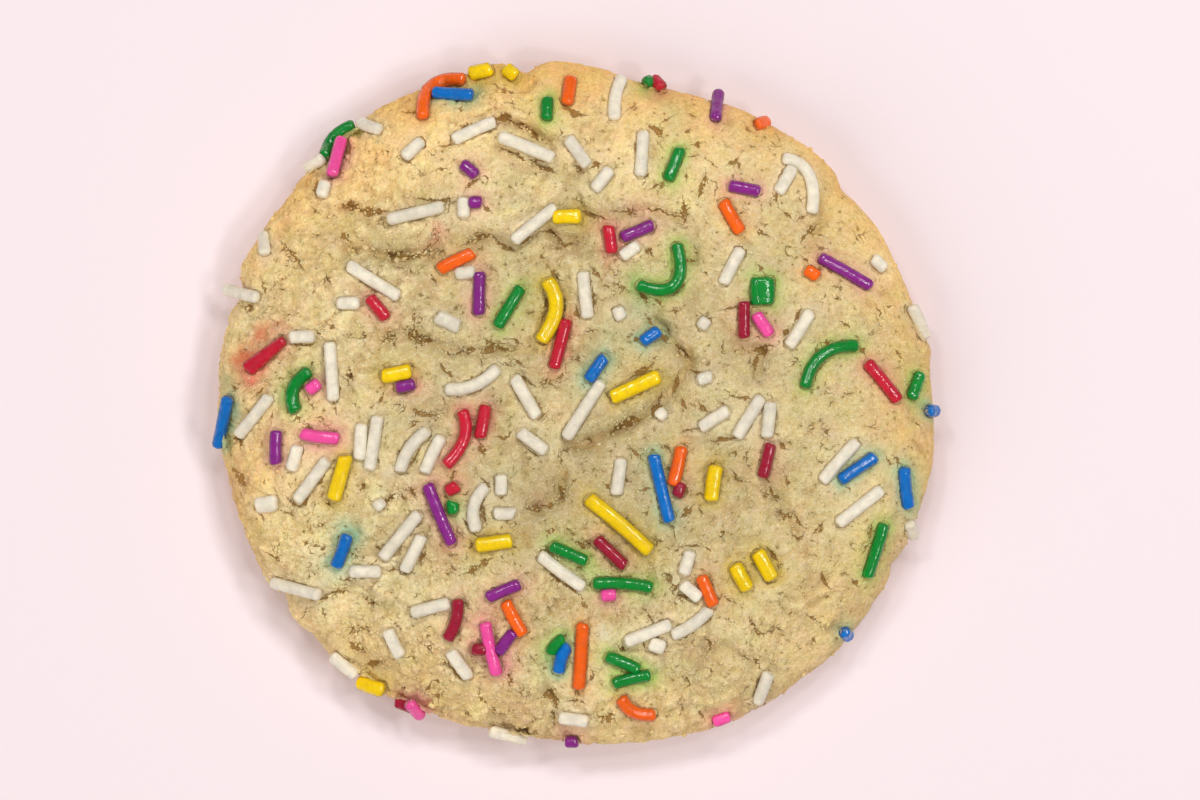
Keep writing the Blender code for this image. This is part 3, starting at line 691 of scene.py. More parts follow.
for noise, weakest, strongest in ((mottle, 0.95, 1.05), (grain, 0.86, 1.14)):
    shade = add_node(dough, "ShaderNodeMapRange", {0: noise, 1: 0.3, 2: 0.7, 3: weakest, 4: strongest})
    tone = add_node(dough, "ShaderNodeMath", {0: tone, 1: shade}, operation="MULTIPLY")
crust = add_node(dough, "ShaderNodeMix", {0: 1.0, 6: crust, 7: tone},
                 out=2, data_type="RGBA", blend_type="MULTIPLY")
# Painted shade: folds, creases and deep valleys coloured a darker brown
ragged = add_node(dough, "ShaderNodeMapRange", {0: crumb, 1: 0.36, 2: 0.62, 3: 0.2, 4: 1.0})
folds = add_node(dough, "ShaderNodeMath", {0: soft, 1: ragged}, operation="MULTIPLY", use_clamp=True)
crust = add_node(dough, "ShaderNodeMix", {0: folds, 6: crust, 7: rgba(PAINTED_FOLD_SHADE)},
                 out=2, data_type="RGBA")
print("dough colour:", len(dough.node_tree.nodes), "nodes")

# %% Dough material, dye and painted light, and the lines of splits and seams
SHAKE = 0.20
dye = add_node(dough, "ShaderNodeAttribute", attribute_name="dye").node
dye_and_light_share = add_node(dough, "ShaderNodeMapRange", {0: mottle, 1: 0.3, 2: 0.7, 3: 0.7, 4: 1.2})
dye_and_light_share = add_node(dough, "ShaderNodeMath", {0: dye.outputs["Alpha"], 1: dye_and_light_share},
                     operation="MULTIPLY", use_clamp=True)
crust = add_node(dough, "ShaderNodeMix", {0: dye_and_light_share, 6: crust, 7: dye.outputs["Color"]},
                 out=2, data_type="RGBA")

shake = add_node(dough, "ShaderNodeMapRange", {0: crumb, 1: 0.25, 2: 0.75, 3: -SHAKE, 4: SHAKE})
swell = add_node(dough, "ShaderNodeMapRange", {0: mottle, 1: 0.38, 2: 0.62, 3: 0.4, 4: 2.0})
lines = []
for kind in ("split", "seam"):
    side = add_node(dough, "ShaderNodeAttribute", out="Fac", attribute_name=f"{kind}_side")
    half = add_node(dough, "ShaderNodeAttribute", out="Fac", attribute_name=f"{kind}_half")
    near = add_node(dough, "ShaderNodeAttribute", out="Fac", attribute_name=f"{kind}_gap")
    side = add_node(dough, "ShaderNodeMath", {0: side, 1: shake}, operation="ADD")
    side = add_node(dough, "ShaderNodeMath", {0: side}, operation="ABSOLUTE")
    half = add_node(dough, "ShaderNodeMath", {0: half, 1: swell}, operation="MULTIPLY")
    gap = add_node(dough, "ShaderNodeMath", {0: side, 1: half}, operation="SUBTRACT")
    line = add_node(dough, "ShaderNodeMapRange", {0: gap, 1: -0.05, 2: 0.04, 3: 1.0, 4: 0.0})
    near = add_node(dough, "ShaderNodeMapRange", {0: near, 1: 0.5, 2: 0.7, 3: 1.0, 4: 0.0})
    lines.append(add_node(dough, "ShaderNodeMath", {0: line, 1: near}, operation="MULTIPLY"))
torn = add_node(dough, "ShaderNodeMath", {0: lines[0], 1: lines[1]}, operation="MAXIMUM")
print("with dye, splits and seams:", len(dough.node_tree.nodes), "nodes")

# %% Dough material, pores, the painted shade in tears, and specks of sugar
# Splits, seams and pores are painted dark brown as the shade inside them
TORN_SHADE_SHARE = 0.92
TORN_SHADE_DARK = "6A4714"
TORN_SHADE_PALE = "A67F3C"
TORN_SHADE_GOLDEN = "B47C34"
SUGAR_SPECK = "F6EBCB"
pit = add_node(dough, "ShaderNodeMapRange", {0: crumb, 1: 0.32, 2: 0.39, 3: 1.0, 4: 0.0})
some = add_node(dough, "ShaderNodeMapRange", {0: mottle, 1: 0.38, 2: 0.47, 3: 0.75, 4: 0.0})
pit = add_node(dough, "ShaderNodeMath", {0: pit, 1: some}, operation="MULTIPLY")
torn = add_node(dough, "ShaderNodeMath", {0: torn, 1: pit}, operation="MAXIMUM")
torn_shade_share = add_node(dough, "ShaderNodeMath", {0: torn, 1: TORN_SHADE_SHARE}, operation="MULTIPLY")
torn_shade_colour = add_node(dough, "ShaderNodeMix", {0: crumb, 6: rgba(TORN_SHADE_DARK), 7: rgba(TORN_SHADE_PALE)},
                       out=2, data_type="RGBA")
torn_shade_colour = add_node(dough, "ShaderNodeMix", {0: browned, 6: torn_shade_colour, 7: rgba(TORN_SHADE_GOLDEN)},
                       out=2, data_type="RGBA")
crust = add_node(dough, "ShaderNodeMix", {0: torn_shade_share, 6: crust, 7: torn_shade_colour},
                 out=2, data_type="RGBA")
speck = add_node(dough, "ShaderNodeMapRange", {0: grain, 1: 0.62, 2: 0.72, 3: 0.0, 4: 0.45})
crust = add_node(dough, "ShaderNodeMix", {0: speck, 6: crust, 7: rgba(SUGAR_SPECK)},
                 out=2, data_type="RGBA")
print("with pores and specks:", len(dough.node_tree.nodes), "nodes")

# %% Dough material, relief and shader
relief = add_node(dough, "ShaderNodeMath", {0: mottle, 1: crumb}, operation="ADD")
fine = add_node(dough, "ShaderNodeMath", {0: grain, 1: 0.6}, operation="MULTIPLY")
relief = add_node(dough, "ShaderNodeMath", {0: relief, 1: fine}, operation="ADD")
relief = add_node(dough, "ShaderNodeMath", {0: relief, 1: torn}, operation="SUBTRACT")
relief = add_node(dough, "ShaderNodeBump", {"Height": relief, "Strength": 0.8, "Distance": 0.2 * MM})
shader = add_node(dough, "ShaderNodeBsdfPrincipled", {
    "Base Color": crust, "Roughness": 0.75, "IOR": 1.45, "Normal": relief,
    "Specular IOR Level": 0.35, "Subsurface Weight": 0.10, "Subsurface Radius": (1.0, 0.6, 0.3),
    "Subsurface Scale": 0.5 * MM})
add_node(dough, "ShaderNodeOutputMaterial", {"Surface": shader})
print("dough material:", len(dough.node_tree.nodes), "nodes")

# %% [markdown]
# ## The dough's skin
#
# The top is a square grid bent onto a disc, so that its cells stay alike from the middle to the
# rim and no pole shows. From the grid's edge, rings run over the shoulder and down the side,
# tuck in under the widest height and close across the flat base.

# %% Grid of the skin
TOP_CELLS = 264
TOP_REACH = 0.94
OVER_RINGS = 10
UNDER_RINGS = 10
BASE_RINGS = 4


def square_to_disc(across, up):
    """Map the square from -1 to 1 onto the unit disc, square rings becoming round ones."""
    wide = np.abs(across) >= np.abs(up)
    reach = np.where(wide, across, up)
    ratio = np.divide(np.where(wide, up, across), reach, out=np.zeros(len(reach)), where=reach != 0)
    turn = ratio * math.pi / 4.0
    return (reach * np.where(wide, np.cos(turn), np.sin(turn)),
            reach * np.where(wide, np.sin(turn), np.cos(turn)))


steps = np.linspace(-1.0, 1.0, TOP_CELLS + 1)
grid_up, grid_across = np.meshgrid(steps, steps, indexing="ij")
disc_x, disc_y = square_to_disc(grid_across.ravel(), grid_up.ravel())
top_angles = np.arctan2(disc_y, disc_x)
number = np.arange((TOP_CELLS + 1) ** 2).reshape(TOP_CELLS + 1, TOP_CELLS + 1)
top_faces = np.stack([number[:-1, :-1], number[:-1, 1:], number[1:, 1:], number[1:, :-1]], axis=-1)
edge_loop = np.concatenate([number[0, :-1], number[:-1, -1], number[-1, :0:-1], number[:0:-1, 0]])
print("top grid:", number.size, "points,", len(edge_loop), "along its edge")

# %% Rings of the side, and the smooth place of every point
over_share = np.linspace(0.0, 1.0, OVER_RINGS + 1)[1:]
over_reach = 1.0 - (1.0 - TOP_REACH) * (1.0 - over_share) ** 2
under_drop = np.linspace(0.0, math.pi / 2.0, UNDER_RINGS + 1)[1:]
angles = np.concatenate([top_angles, np.tile(top_angles[edge_loop], OVER_RINGS + UNDER_RINGS)])
reaches = np.concatenate([np.hypot(disc_x, disc_y) * TOP_REACH, np.repeat(over_reach, len(edge_loop)),
                          np.ones(UNDER_RINGS * len(edge_loop))])
drops = np.concatenate([np.zeros(number.size + OVER_RINGS * len(edge_loop)),
                        np.repeat(under_drop, len(edge_loop))])
outward = np.column_stack([np.cos(angles), np.sin(angles), np.zeros(len(angles))])
tuck = BASE_INSET * (1.0 - np.cos(drops))
smooth = outward * (reaches * outline_radius(angles) - tuck)[:, None]
smooth[:, 2] = top_height(reaches, angles) - WIDEST_HEIGHT * np.sin(drops)
flat = smooth[:, :2]
print("skin:", len(smooth), "points")

# %% [markdown]
# ## Relief of the skin
#
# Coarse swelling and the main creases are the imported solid's. On them come clods of three
# sizes, each a little higher or lower than the next and parted by shallow valleys. The left and
# the middle are the roughest, and the upper right baked smoother, so a slowly changing number
# scales all of that relief.

# %% Roughness, and the wobble that keeps lines from running straight
ROUGH_DIRECTION = (-0.8, -0.6)
MEAN_ROUGHNESS = 0.72
ROUGHNESS_SLOPE = 0.35
ROUGHNESS_NOISE = 0.3
ROUGHNESS_SIZE = 9.0
ROUGHNESS_LIMITS = (0.3, 1.1)
MEAN_RADIUS = 38.0
WOBBLE_SIZE = 1.7
CLOD_WOBBLE = 0.5
JAG_SIZE = 0.8
JAG = 0.12
wobble = np.column_stack([smooth_noise(smooth, WOBBLE_SIZE, seed) for seed in (11, 12, 13)])
jag = np.column_stack([smooth_noise(smooth, JAG_SIZE, seed) for seed in (14, 15)])
bent = smooth + CLOD_WOBBLE * wobble
warped = flat + JAG * jag
roughness = np.clip(MEAN_ROUGHNESS + ROUGHNESS_SLOPE * (flat @ ROUGH_DIRECTION) / MEAN_RADIUS
                    + ROUGHNESS_NOISE * smooth_noise(smooth, ROUGHNESS_SIZE, 4), *ROUGHNESS_LIMITS)
print("roughness:", roughness.min().round(2), "to", roughness.max().round(2))

# %% Clods
# Cell size, how deep the valleys are, how much a clod may stand above its neighbour, seed
CLODS = [(3.4, 0.30, 0.22, 21), (1.6, 0.26, 0.20, 22), (0.9, 0.16, 0.12, 23)]
VALLEY_REACH = 0.25
VALLEY_HALF_WIDTH = 0.16
SMOOTHER_ON_THE_SIDE = 0.15
crumbly = np.zeros(len(smooth))
owner_tone = np.zeros(len(smooth))
for size, depth, step_up, seed in CLODS:
    valley, owner = clod_noise(tilted(bent, seed), size, seed)
    share_here = np.clip(0.75 + 0.9 * smooth_noise(smooth, 2.5 * size, seed + 10), 0.15, 1.0)
    crumbly += share_here * (step_up * (owner - 0.5) * np.clip(valley / VALLEY_REACH, 0.0, 1.0)
                             - depth * np.exp(-(valley / VALLEY_HALF_WIDTH) ** 2))
    owner_tone += (owner - 0.5) * share_here
crumbly *= roughness * (1.0 - SMOOTHER_ON_THE_SIDE * shoulder(reaches))
print("clods, mm:", round(np.ptp(crumbly), 2))

# %% Swelling and the main creases
ROUND_CREASE_SHARE = 0.65
TORN_CREASE_SHARE = 0.35
TORN_CREASE_WOBBLE = 0.35
TORN_CREASE_HALF_WIDTH = 0.45
broken = np.clip(0.7 + 0.7 * smooth_noise(smooth, 2.4, 16), 0.0, 1.0)
torn_crease = crease_depth(warped + TORN_CREASE_WOBBLE * wobble[:, :2], TORN_CREASE_HALF_WIDTH)
coarse = (lumps(smooth) - ROUND_CREASE_SHARE * crease_depth(flat, CREASE_HALF_WIDTH)
          - TORN_CREASE_SHARE * torn_crease * broken)
print("coarse relief, mm:", round(np.ptp(coarse), 2))

# %% [markdown]
# ## Splits in the skin
#
# To the splits that were read come a few hundred tiny ones by a rule: short arcs that start at a
# random place on the top and turn as they run. Each split cuts a narrow groove. The skin also
# keeps, for its nearest split, on which side of it and how far away each point lies, and the
# half width there, for the material to paint the tear dark as the shade inside it.

# %% Split paths
SMALL_SPLITS = 300
STEPS_OF_A_SPLIT = 4
SPLIT_FIELD_RADIUS = 37.0
SHORTEST_SPLIT = 0.3
LONGEST_SPLIT = 2.0
USUAL_EXTRA_LENGTH = 0.45
STEADY_TURN = 0.5
LOOSE_TURN = 0.4
SMALL_HALF_WIDTHS = (0.02, 0.11)


def small_splits(count, draw):
    """Arcs of short straight steps: a start, a first heading, and a turn at each step."""
    spin = draw.uniform(0.0, 2.0 * math.pi, count)
    towards = np.column_stack([np.cos(spin), np.sin(spin)])
    start = towards * SPLIT_FIELD_RADIUS * np.sqrt(draw.uniform(0, 1, (count, 1)))
    length = SHORTEST_SPLIT + draw.exponential(USUAL_EXTRA_LENGTH, count)
    length = np.clip(length, SHORTEST_SPLIT, LONGEST_SPLIT)
    heading = (draw.uniform(0.0, 2.0 * math.pi, (count, 1))
               + draw.normal(0.0, STEADY_TURN, (count, 1)) * np.arange(STEPS_OF_A_SPLIT)
               + draw.normal(0.0, LOOSE_TURN, (count, STEPS_OF_A_SPLIT)))
    step_length = (length / STEPS_OF_A_SPLIT)[:, None, None]
    moves = np.stack([np.cos(heading), np.sin(heading)], axis=2) * step_length
    paths = np.concatenate([start[:, None], start[:, None] + np.cumsum(moves, axis=1)], axis=1)
    return list(zip(draw.uniform(*SMALL_HALF_WIDTHS, count), paths))


draw = np.random.default_rng(SEED + 2)
splits = [(half * PIXEL, picture_to_mm(places)) for half, *places in SPLITS]
splits += small_splits(SMALL_SPLITS, draw)
print(len(splits), "splits in all, the longest",
      round(max(np.linalg.norm(np.diff(path, axis=0), axis=1).sum() for _, path in splits), 1), "mm")

# %% Grooves and distances
FAR = 2.0
# How far round the side, in radians below the widest height, splits and stains still show
TOP_DROP = 0.5
SPLIT_REACH = 1.5
GROOVE_DEPTH = 0.15
GROOVE_DEPTH_BY_WIDTH = 1.7
GROOVE_MARGIN = 0.18
on_top = drops < TOP_DROP
groove = np.zeros(len(smooth))
split_gap = np.full(len(smooth), FAR)
split_side = np.full(len(smooth), FAR)
split_half = np.zeros(len(smooth))
swelling = 1.0 + 0.4 * smooth_noise(smooth, 0.9, 17)
for half, path in splits:
    reach_out = np.ptp(path, axis=0).max() / 2.0 + SPLIT_REACH
    middle = (path.min(axis=0) + path.max(axis=0)) / 2.0
    near = np.flatnonzero((np.abs(flat - middle).max(axis=1) < reach_out) & on_top)
    gap, share, side = nearest_on_path(warped[near], path)
    taper = np.sqrt(np.clip(np.sin(math.pi * np.clip(share, 0.03, 0.97)), 0.0, 1.0))
    here = half * taper * swelling[near]
    groove[near] = np.maximum(groove[near], (GROOVE_DEPTH + GROOVE_DEPTH_BY_WIDTH * half) * taper
                              * np.exp(-(gap / (half + GROOVE_MARGIN)) ** 2))
    nearer = gap < split_gap[near]
    split_gap[near] = np.where(nearer, gap, split_gap[near])
    split_side[near] = np.where(nearer, gap * side, split_side[near])
    split_half[near] = np.where(nearer, here, split_half[near])
print("grooves up to", round(groove.max(), 2), "mm deep")

# %% Soft folds and their painted shade, in creases, in deep valleys and where they were read
FOLD_IN_CREASE = 0.6
FOLD_WOBBLE = 0.3
FOLD_CREASE_HALF_WIDTH = 0.4
FOLD_IN_VALLEY = 0.55
VALLEY_STARTS = 0.18
VALLEY_SPAN = 0.26
STRONGEST_FOLD = 0.85
FOLD_MARGIN = 0.1
in_creases = crease_depth(warped + FOLD_WOBBLE * wobble[:, :2], FOLD_CREASE_HALF_WIDTH)
in_valleys = np.clip((-crumbly - VALLEY_STARTS) / VALLEY_SPAN, 0.0, 1.0)
fold_dent_and_shade = np.maximum(FOLD_IN_CREASE * in_creases * broken, FOLD_IN_VALLEY * in_valleys)
fold_dent_and_shade = np.clip(fold_dent_and_shade, 0.0, STRONGEST_FOLD) * on_top
for half, *places in SOFT_FOLDS:
    gap, _, _ = nearest_on_path(warped, picture_to_mm(places))
    fold_dent_and_shade = np.maximum(fold_dent_and_shade, np.exp(-(gap / (half * PIXEL + FOLD_MARGIN)) ** 2) * on_top)
print("points in a fold:", int((fold_dent_and_shade > 0.3).sum()))

# %% The skin with its relief
FOLD_DEPTH = 0.25
upright = np.where(drops > 0.0, 1.0, shoulder(reaches))
relief_here = (coarse + crumbly - groove - FOLD_DEPTH * fold_dent_and_shade) * np.cos(drops)
shaped = smooth.copy()
shaped[:, 2] += relief_here * (1.0 - upright)
shaped += outward * (relief_here * upright * SIDE_RELIEF_SHARE)[:, None]
print("relief, mm:", relief_here.min().round(2), "to", relief_here.max().round(2))

# %% [markdown]
# ## Beds for the sprinkles
#
# A strand pressed into soft dough leaves a trough, and the dough stands up to about its middle.
# For each strand the skin under it is lowered out of sight and the skin beside it is kept from
# rising over it. The same pass gives the dye, strongest beside the strand and gone after a
# millimetre or two; round a white strand it is a pale ring painted as light over the shade beside
# it. It also gives the distance from the strand's edge, where a dark seam is painted in places
# as the shade in the crevice.

# %% Beds and dye
END_DRAWN_IN = 0.7
# How far the dough may stand above a strand's middle line, in mm
DOUGH_OVER_WHITE = 0.4
DOUGH_OVER_COLOURED = 0.18
BED_SEARCH = 8.0
BED_DROP = 0.9
LEVEL_REACH = 2.2
BED_DEPTH_SHARE = 0.6
BANK_SLOPE = 0.9
# How strong each ring of dye is, and how far past the strand's edge it spreads, in mm
DYE_RINGS = [(0.75, 0.3), (0.35, 1.1)]
SEAM_OFFSET = 0.06
SEAM_HALF_WIDTH = 0.07


def drawn_in(axis, inset):
    """A middle line with both ends moved inwards, so that a round bed ends where its strand does."""
    shorter = axis.copy()
    for end, inner in ((0, 1), (-1, -2)):
        run = axis[inner] - axis[end]
        length = np.linalg.norm(run)
        shorter[end] += run / length * min(inset, 0.4 * length)
    return shorter


dye_and_light_colour = np.zeros((len(shaped), 3))
dye_and_light_weight = np.zeros(len(shaped))
edge_gap = np.full(len(shaped), FAR)
for colour, group in axes.items():
    _, diameter, _, tint, strength, _ = SPRINKLES[colour]
    radius = diameter / 2.0
    dough_over_axis = DOUGH_OVER_WHITE if colour == "white" else DOUGH_OVER_COLOURED
    for axis in group:
        axis = drawn_in(axis, END_DRAWN_IN * radius)
        near = np.flatnonzero((np.abs(flat - axis[:, :2].mean(axis=0)).max(axis=1) < BED_SEARCH)
                              & (drops < BED_DROP))
        gap, share, _ = nearest_on_path(flat[near], axis[:, :2])
        axis_height = np.interp(share, np.linspace(0, 1, len(axis)), axis[:, 2])
        level = np.abs(shaped[near, 2] - axis_height) < LEVEL_REACH
        inside = np.sqrt(np.maximum(radius ** 2 - gap ** 2, 0.0))
        ceiling = np.where(gap < radius, axis_height - BED_DEPTH_SHARE * inside,
                           axis_height + dough_over_axis + BANK_SLOPE * (gap - radius))
        lowered = np.where(level & (upright[near] < 0.9), ceiling, np.inf)
        shaped[near, 2] = np.minimum(shaped[near, 2], lowered)
        edge = np.where(level, gap - radius, FAR)
        nearer = edge < edge_gap[near]
        edge_gap[near] = np.where(nearer, edge, edge_gap[near])
        # Round a white strand this ring is pale light painted over the shade beside it; round the rest it is
        # dye
        dye_and_light_halo = strength * level * sum(amount * np.exp(-(gap / (radius + spread)) ** 2)
                                      for amount, spread in DYE_RINGS)
        dye_and_light_colour[near] += dye_and_light_halo[:, None] * hex_to_linear(tint)
        dye_and_light_weight[near] += dye_and_light_halo
# A dark seam painted here and there as the shade in the crevice beside a strand
seam_side = edge_gap - SEAM_OFFSET
seam_half = SEAM_HALF_WIDTH * np.clip(-0.35 + 1.5 * smooth_noise(smooth, 1.3, 43), 0.0, 1.0)
print("points beside a strand:", int((np.abs(edge_gap) < 0.3).sum()))

# %% [markdown]
# ## Stains
#
# Here and there dye shows with no strand over it, from one that melted or lies just under the
# skin. Each stain is a soft round spot: its place, radius in pixels, strength and tint.

# %% Stains
STAINS = [
    (640, 205, 14, 0.35, "E3A792"), (515, 710, 16, 0.30, "E6AE92"), (505, 660, 14, 0.30, "E0A698"),
    (238, 482, 16, 0.45, "C08C70"), (320, 450, 18, 0.25, "E2AE92"), (320, 428, 16, 0.25, "E8A48C"),
    (540, 498, 13, 0.40, "C69878"), (350, 162, 12, 0.35, "E6A890"), (437, 236, 10, 0.55, "D98A70"),
    (670, 120, 15, 0.35, "C6CE90"), (750, 265, 16, 0.30, "CCD094"), (640, 312, 16, 0.35, "B8C69C"),
    (612, 332, 15, 0.30, "BCC8A0"), (221, 380, 12, 0.45, "9CB080"), (243, 358, 13, 0.85, "D8642E"),
    (262, 336, 12, 0.60, "E07850"), (250, 372, 15, 0.75, "E27A60"), (281, 328, 9, 0.55, "E08A6C"),
    (350, 533, 15, 0.40, "9CBE9C"), (336, 566, 12, 0.35, "9CBE9C"),
    (604, 630, 8, 0.45, "E6D9BC"), (388, 475, 8, 0.35, "E6D9BC"), (465, 515, 8, 0.35, "E6D9BC"),
    (637, 282, 12, 0.35, "A6C07C"), (589, 384, 11, 0.35, "A6C2A0"), (640, 345, 11, 0.35, "A6C2A0"),
]
STAIN_WOBBLE = 0.5
MOST_DYE = 0.85
for x, y, spot, strength, tint in STAINS:
    gap = np.linalg.norm(flat + STAIN_WOBBLE * wobble[:, :2] - picture_to_mm([(x, y)]), axis=1)
    amount = strength * np.exp(-(gap / (spot * PIXEL)) ** 2) * on_top
    dye_and_light_colour += amount[:, None] * hex_to_linear(tint)
    dye_and_light_weight += amount
bleed = 1.0 + 0.5 * smooth_noise(smooth, 1.1, 41) + 0.4 * smooth_noise(smooth, 3.0, 42)
dye_and_light_colour /= np.maximum(dye_and_light_weight, 1e-6)[:, None]
dye_and_light_amount = np.clip(dye_and_light_weight * bleed, 0.0, MOST_DYE)
print("points with dye:", int((dye_and_light_amount > 0.05).sum()))

# %% [markdown]
# ## Browning and tone
#
# Heat reaches the rim first and the underside most of all. The upper side of the rim has turned
# the most golden and the middle is greyer. Over that, light and shade are painted into the tone:
# the middle darker and the outer ring lighter, raised parts lighter, and the bottoms of valleys,
# creases and the side under the rim darker, since they get less light than a flat skin can show.
# Clods differ a little in tone at random. Where the real cookie is paler or browner than these
# rules say, a few broad round spots put it right.

# %% Spots, and browning
GOLDEN_DIRECTION = math.radians(105)
RIM_STARTS = 0.48
RIM_POWER = 2.3
MIDDLE_BROWNING = 0.06
RIM_BROWNING = 0.65
GOLDEN_SIDE_GAIN = 0.35
UNDERSIDE_GAIN = 0.30
RAISED_GAIN = 0.10
# Strength, size in mm and seed of each uneven patch
BROWNING_PATCHES = [(0.08, 6.0, 51), (0.08, 2.0, 52)]
# Place, radius in pixels, how much more or less browned than the rule says
BROWNER_SPOTS = [(420, 190, 60, 0.08), (755, 160, 55, -0.20), (315, 570, 50, -0.15),
                 (365, 515, 50, -0.15), (915, 430, 50, 0.12), (230, 330, 60, -0.45),
                 (285, 245, 45, -0.25), (280, 600, 60, -0.20), (650, 710, 70, -0.15)]


def add_spots(values, spots, where):
    """Add a round spot to the values for each row, fading as a bell curve from its place."""
    for x, y, spot, amount in spots:
        gap = np.linalg.norm(flat - picture_to_mm([(x, y)]), axis=1)
        values += amount * np.exp(-(gap / (spot * PIXEL)) ** 2) * where


rim = np.clip((reaches - RIM_STARTS) / (1.0 - RIM_STARTS), 0.0, 1.0) ** RIM_POWER
rim_browning = RIM_BROWNING + GOLDEN_SIDE_GAIN * np.cos(angles - GOLDEN_DIRECTION)
browned_values = MIDDLE_BROWNING + rim * rim_browning + UNDERSIDE_GAIN * np.sin(drops)
for share, size, seed in BROWNING_PATCHES:
    browned_values += share * smooth_noise(smooth, size, seed)
browned_values += RAISED_GAIN * np.clip(coarse, -0.6, 0.8)
add_spots(browned_values, BROWNER_SPOTS, 1.0)
browned_values = np.clip(browned_values, 0.0, 1.0)
print("browning:", browned_values.min().round(2), "to", browned_values.max().round(2))

# %% Tone
DIMMER_DIRECTION = math.radians(-20)
MIDDLE_TONE = 0.89
OUTER_PAINTED_LIGHT = 0.17
DIMMER_SIDE_LIGHT_LOSS = 0.07
OUTER_STARTS = 0.45
OUTER_SPAN = 0.3
CLOD_TONE = 0.05
RAISED_PAINTED_LIGHT = 0.05
VALLEY_SHADE = 0.30
UNDERSIDE_SHADE = 0.10
TONE_PATCHES = [(0.05, 5.0, 53), (0.03, 1.4, 54)]
# Place, radius in pixels, how much lighter or darker than the rule says
TONE_SPOTS = [(600, 500, 70, -0.12), (640, 715, 70, 0.10), (430, 140, 100, 0.08),
              (700, 140, 90, 0.05), (880, 265, 70, 0.10), (460, 690, 60, 0.06)]
# Painted light and shade: the outer ring lighter and the middle darker, less of this on the right
outer_painted_light = OUTER_PAINTED_LIGHT - DIMMER_SIDE_LIGHT_LOSS * np.cos(angles - DIMMER_DIRECTION)
outer_share = np.clip((reaches - OUTER_STARTS) / OUTER_SPAN, 0.0, 1.0)
tone_light_and_shade_values = MIDDLE_TONE + outer_painted_light * outer_share + CLOD_TONE * owner_tone
for share, size, seed in TONE_PATCHES:
    tone_light_and_shade_values += share * smooth_noise(smooth, size, seed)
# Painted light and shade: raised parts lighter, creases, valleys and the side under the rim darker
tone_light_and_shade_values += RAISED_PAINTED_LIGHT * np.clip(coarse, -1.2, 0.8)
tone_light_and_shade_values += VALLEY_SHADE * np.clip(crumbly, -0.4, 0.3)
tone_light_and_shade_values -= UNDERSIDE_SHADE * np.sin(drops)
add_spots(tone_light_and_shade_values, TONE_SPOTS, on_top)
print("tone:", tone_light_and_shade_values.min().round(2), "to", tone_light_and_shade_values.max().round(2))

# %% [markdown]
# ## Closing the dough
#
# The last rings shrink to a point in the middle of the flat base. All quads, apart from the
# small fan round that point.

# %% Dough piece
BASE_BROWNING = 1.0
BASE_TONE = 0.72
ring_count = len(edge_loop)
shaped[-ring_count:, 2] = 0.0
base_scale = np.linspace(1.0, 0.0, BASE_RINGS + 2)[1:-1]
base_points = np.concatenate([shaped[-ring_count:] * (scale, scale, 0.0) for scale in base_scale])
all_points = np.concatenate([shaped, base_points, [[0.0, 0.0, 0.0]]])
extra = len(all_points) - len(shaped)

loops = [edge_loop] + [number.size + ring * ring_count + np.arange(ring_count)
                       for ring in range(OVER_RINGS + UNDER_RINGS + BASE_RINGS)]
wall_faces = np.concatenate([
    np.column_stack([np.roll(above, -1), above, below, np.roll(below, -1)])
    for above, below in zip(loops, loops[1:])])
fan = np.column_stack([np.roll(loops[-1], -1), loops[-1], np.full(ring_count, len(all_points) - 1)])
faces = top_faces.reshape(-1, 4).tolist() + wall_faces.tolist() + fan.tolist()

# The tone mark carries painted light and shade, and the soft mark the painted shade of folds
marks = {"browned": browned_values, "tone": tone_light_and_shade_values, "soft": 0.8 * fold_dent_and_shade,
         "split_gap": split_gap, "split_side": split_side, "split_half": split_half,
         "seam_gap": np.abs(edge_gap), "seam_side": seam_side, "seam_half": seam_half}
base_marks = {"browned": BASE_BROWNING, "tone": BASE_TONE, "soft": 0.0, "split_gap": FAR,
              "split_side": FAR, "split_half": 0.0, "seam_gap": FAR, "seam_side": FAR, "seam_half": 0.0}
dye_and_light_values = np.column_stack([dye_and_light_colour, dye_and_light_amount])
cookie_dough = add_piece(
    "dough", all_points, faces, dough,
    {key: np.concatenate([values, np.full(extra, base_marks[key])]) for key, values in marks.items()},
    {"dye": np.concatenate([dye_and_light_values, np.zeros((extra, 4))])})
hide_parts("cookie")

# %% [markdown]
# ## Crumbs and sugar grains
#
# The skin is sandy: half-loose crumbs cling to it and grains of sugar glint in it. They could be
# scattered by particles, but real mesh keeps them at true size in every program. Each crumb has
# twelve corners in two staggered rings of five between two poles, each grain has one ring of
# four, and every one is stretched, shaken and turned at random and sunk partly into the skin.

# %% Shapes of a crumb and a grain


def closed_lump(rings, sides):
    """Corners on a unit ball and triangles between them: a pole, rings of corners, a pole. Every
    ring is turned by half a step against the one above."""
    latitude = np.arctan(0.5) * np.linspace(1.0, -1.0, rings) if rings > 1 else np.zeros(1)
    turn = (np.arange(sides)[None] + 0.5 * np.arange(rings)[:, None]) * 2.0 * math.pi / sides
    ring_points = np.stack([np.cos(latitude)[:, None] * np.cos(turn),
                            np.cos(latitude)[:, None] * np.sin(turn),
                            np.repeat(np.sin(latitude)[:, None], sides, axis=1)], axis=-1)
    corners = np.concatenate([ring_points.reshape(-1, 3), [[0, 0, 1.0], [0, 0, -1.0]]])
    index = np.arange(rings * sides).reshape(rings, sides)
    ahead = np.roll(index, -1, axis=1)
    pole = rings * sides
    triangles = [np.column_stack([np.full(sides, pole), index[0], ahead[0]]),
                 np.column_stack([np.full(sides, pole + 1), ahead[-1], index[-1]])]
    for above, above_next, below, below_next in zip(index, ahead, index[1:], ahead[1:]):
        triangles += [np.column_stack([above, below, above_next]),
                      np.column_stack([above_next, below, below_next])]
    return corners, np.concatenate(triangles)


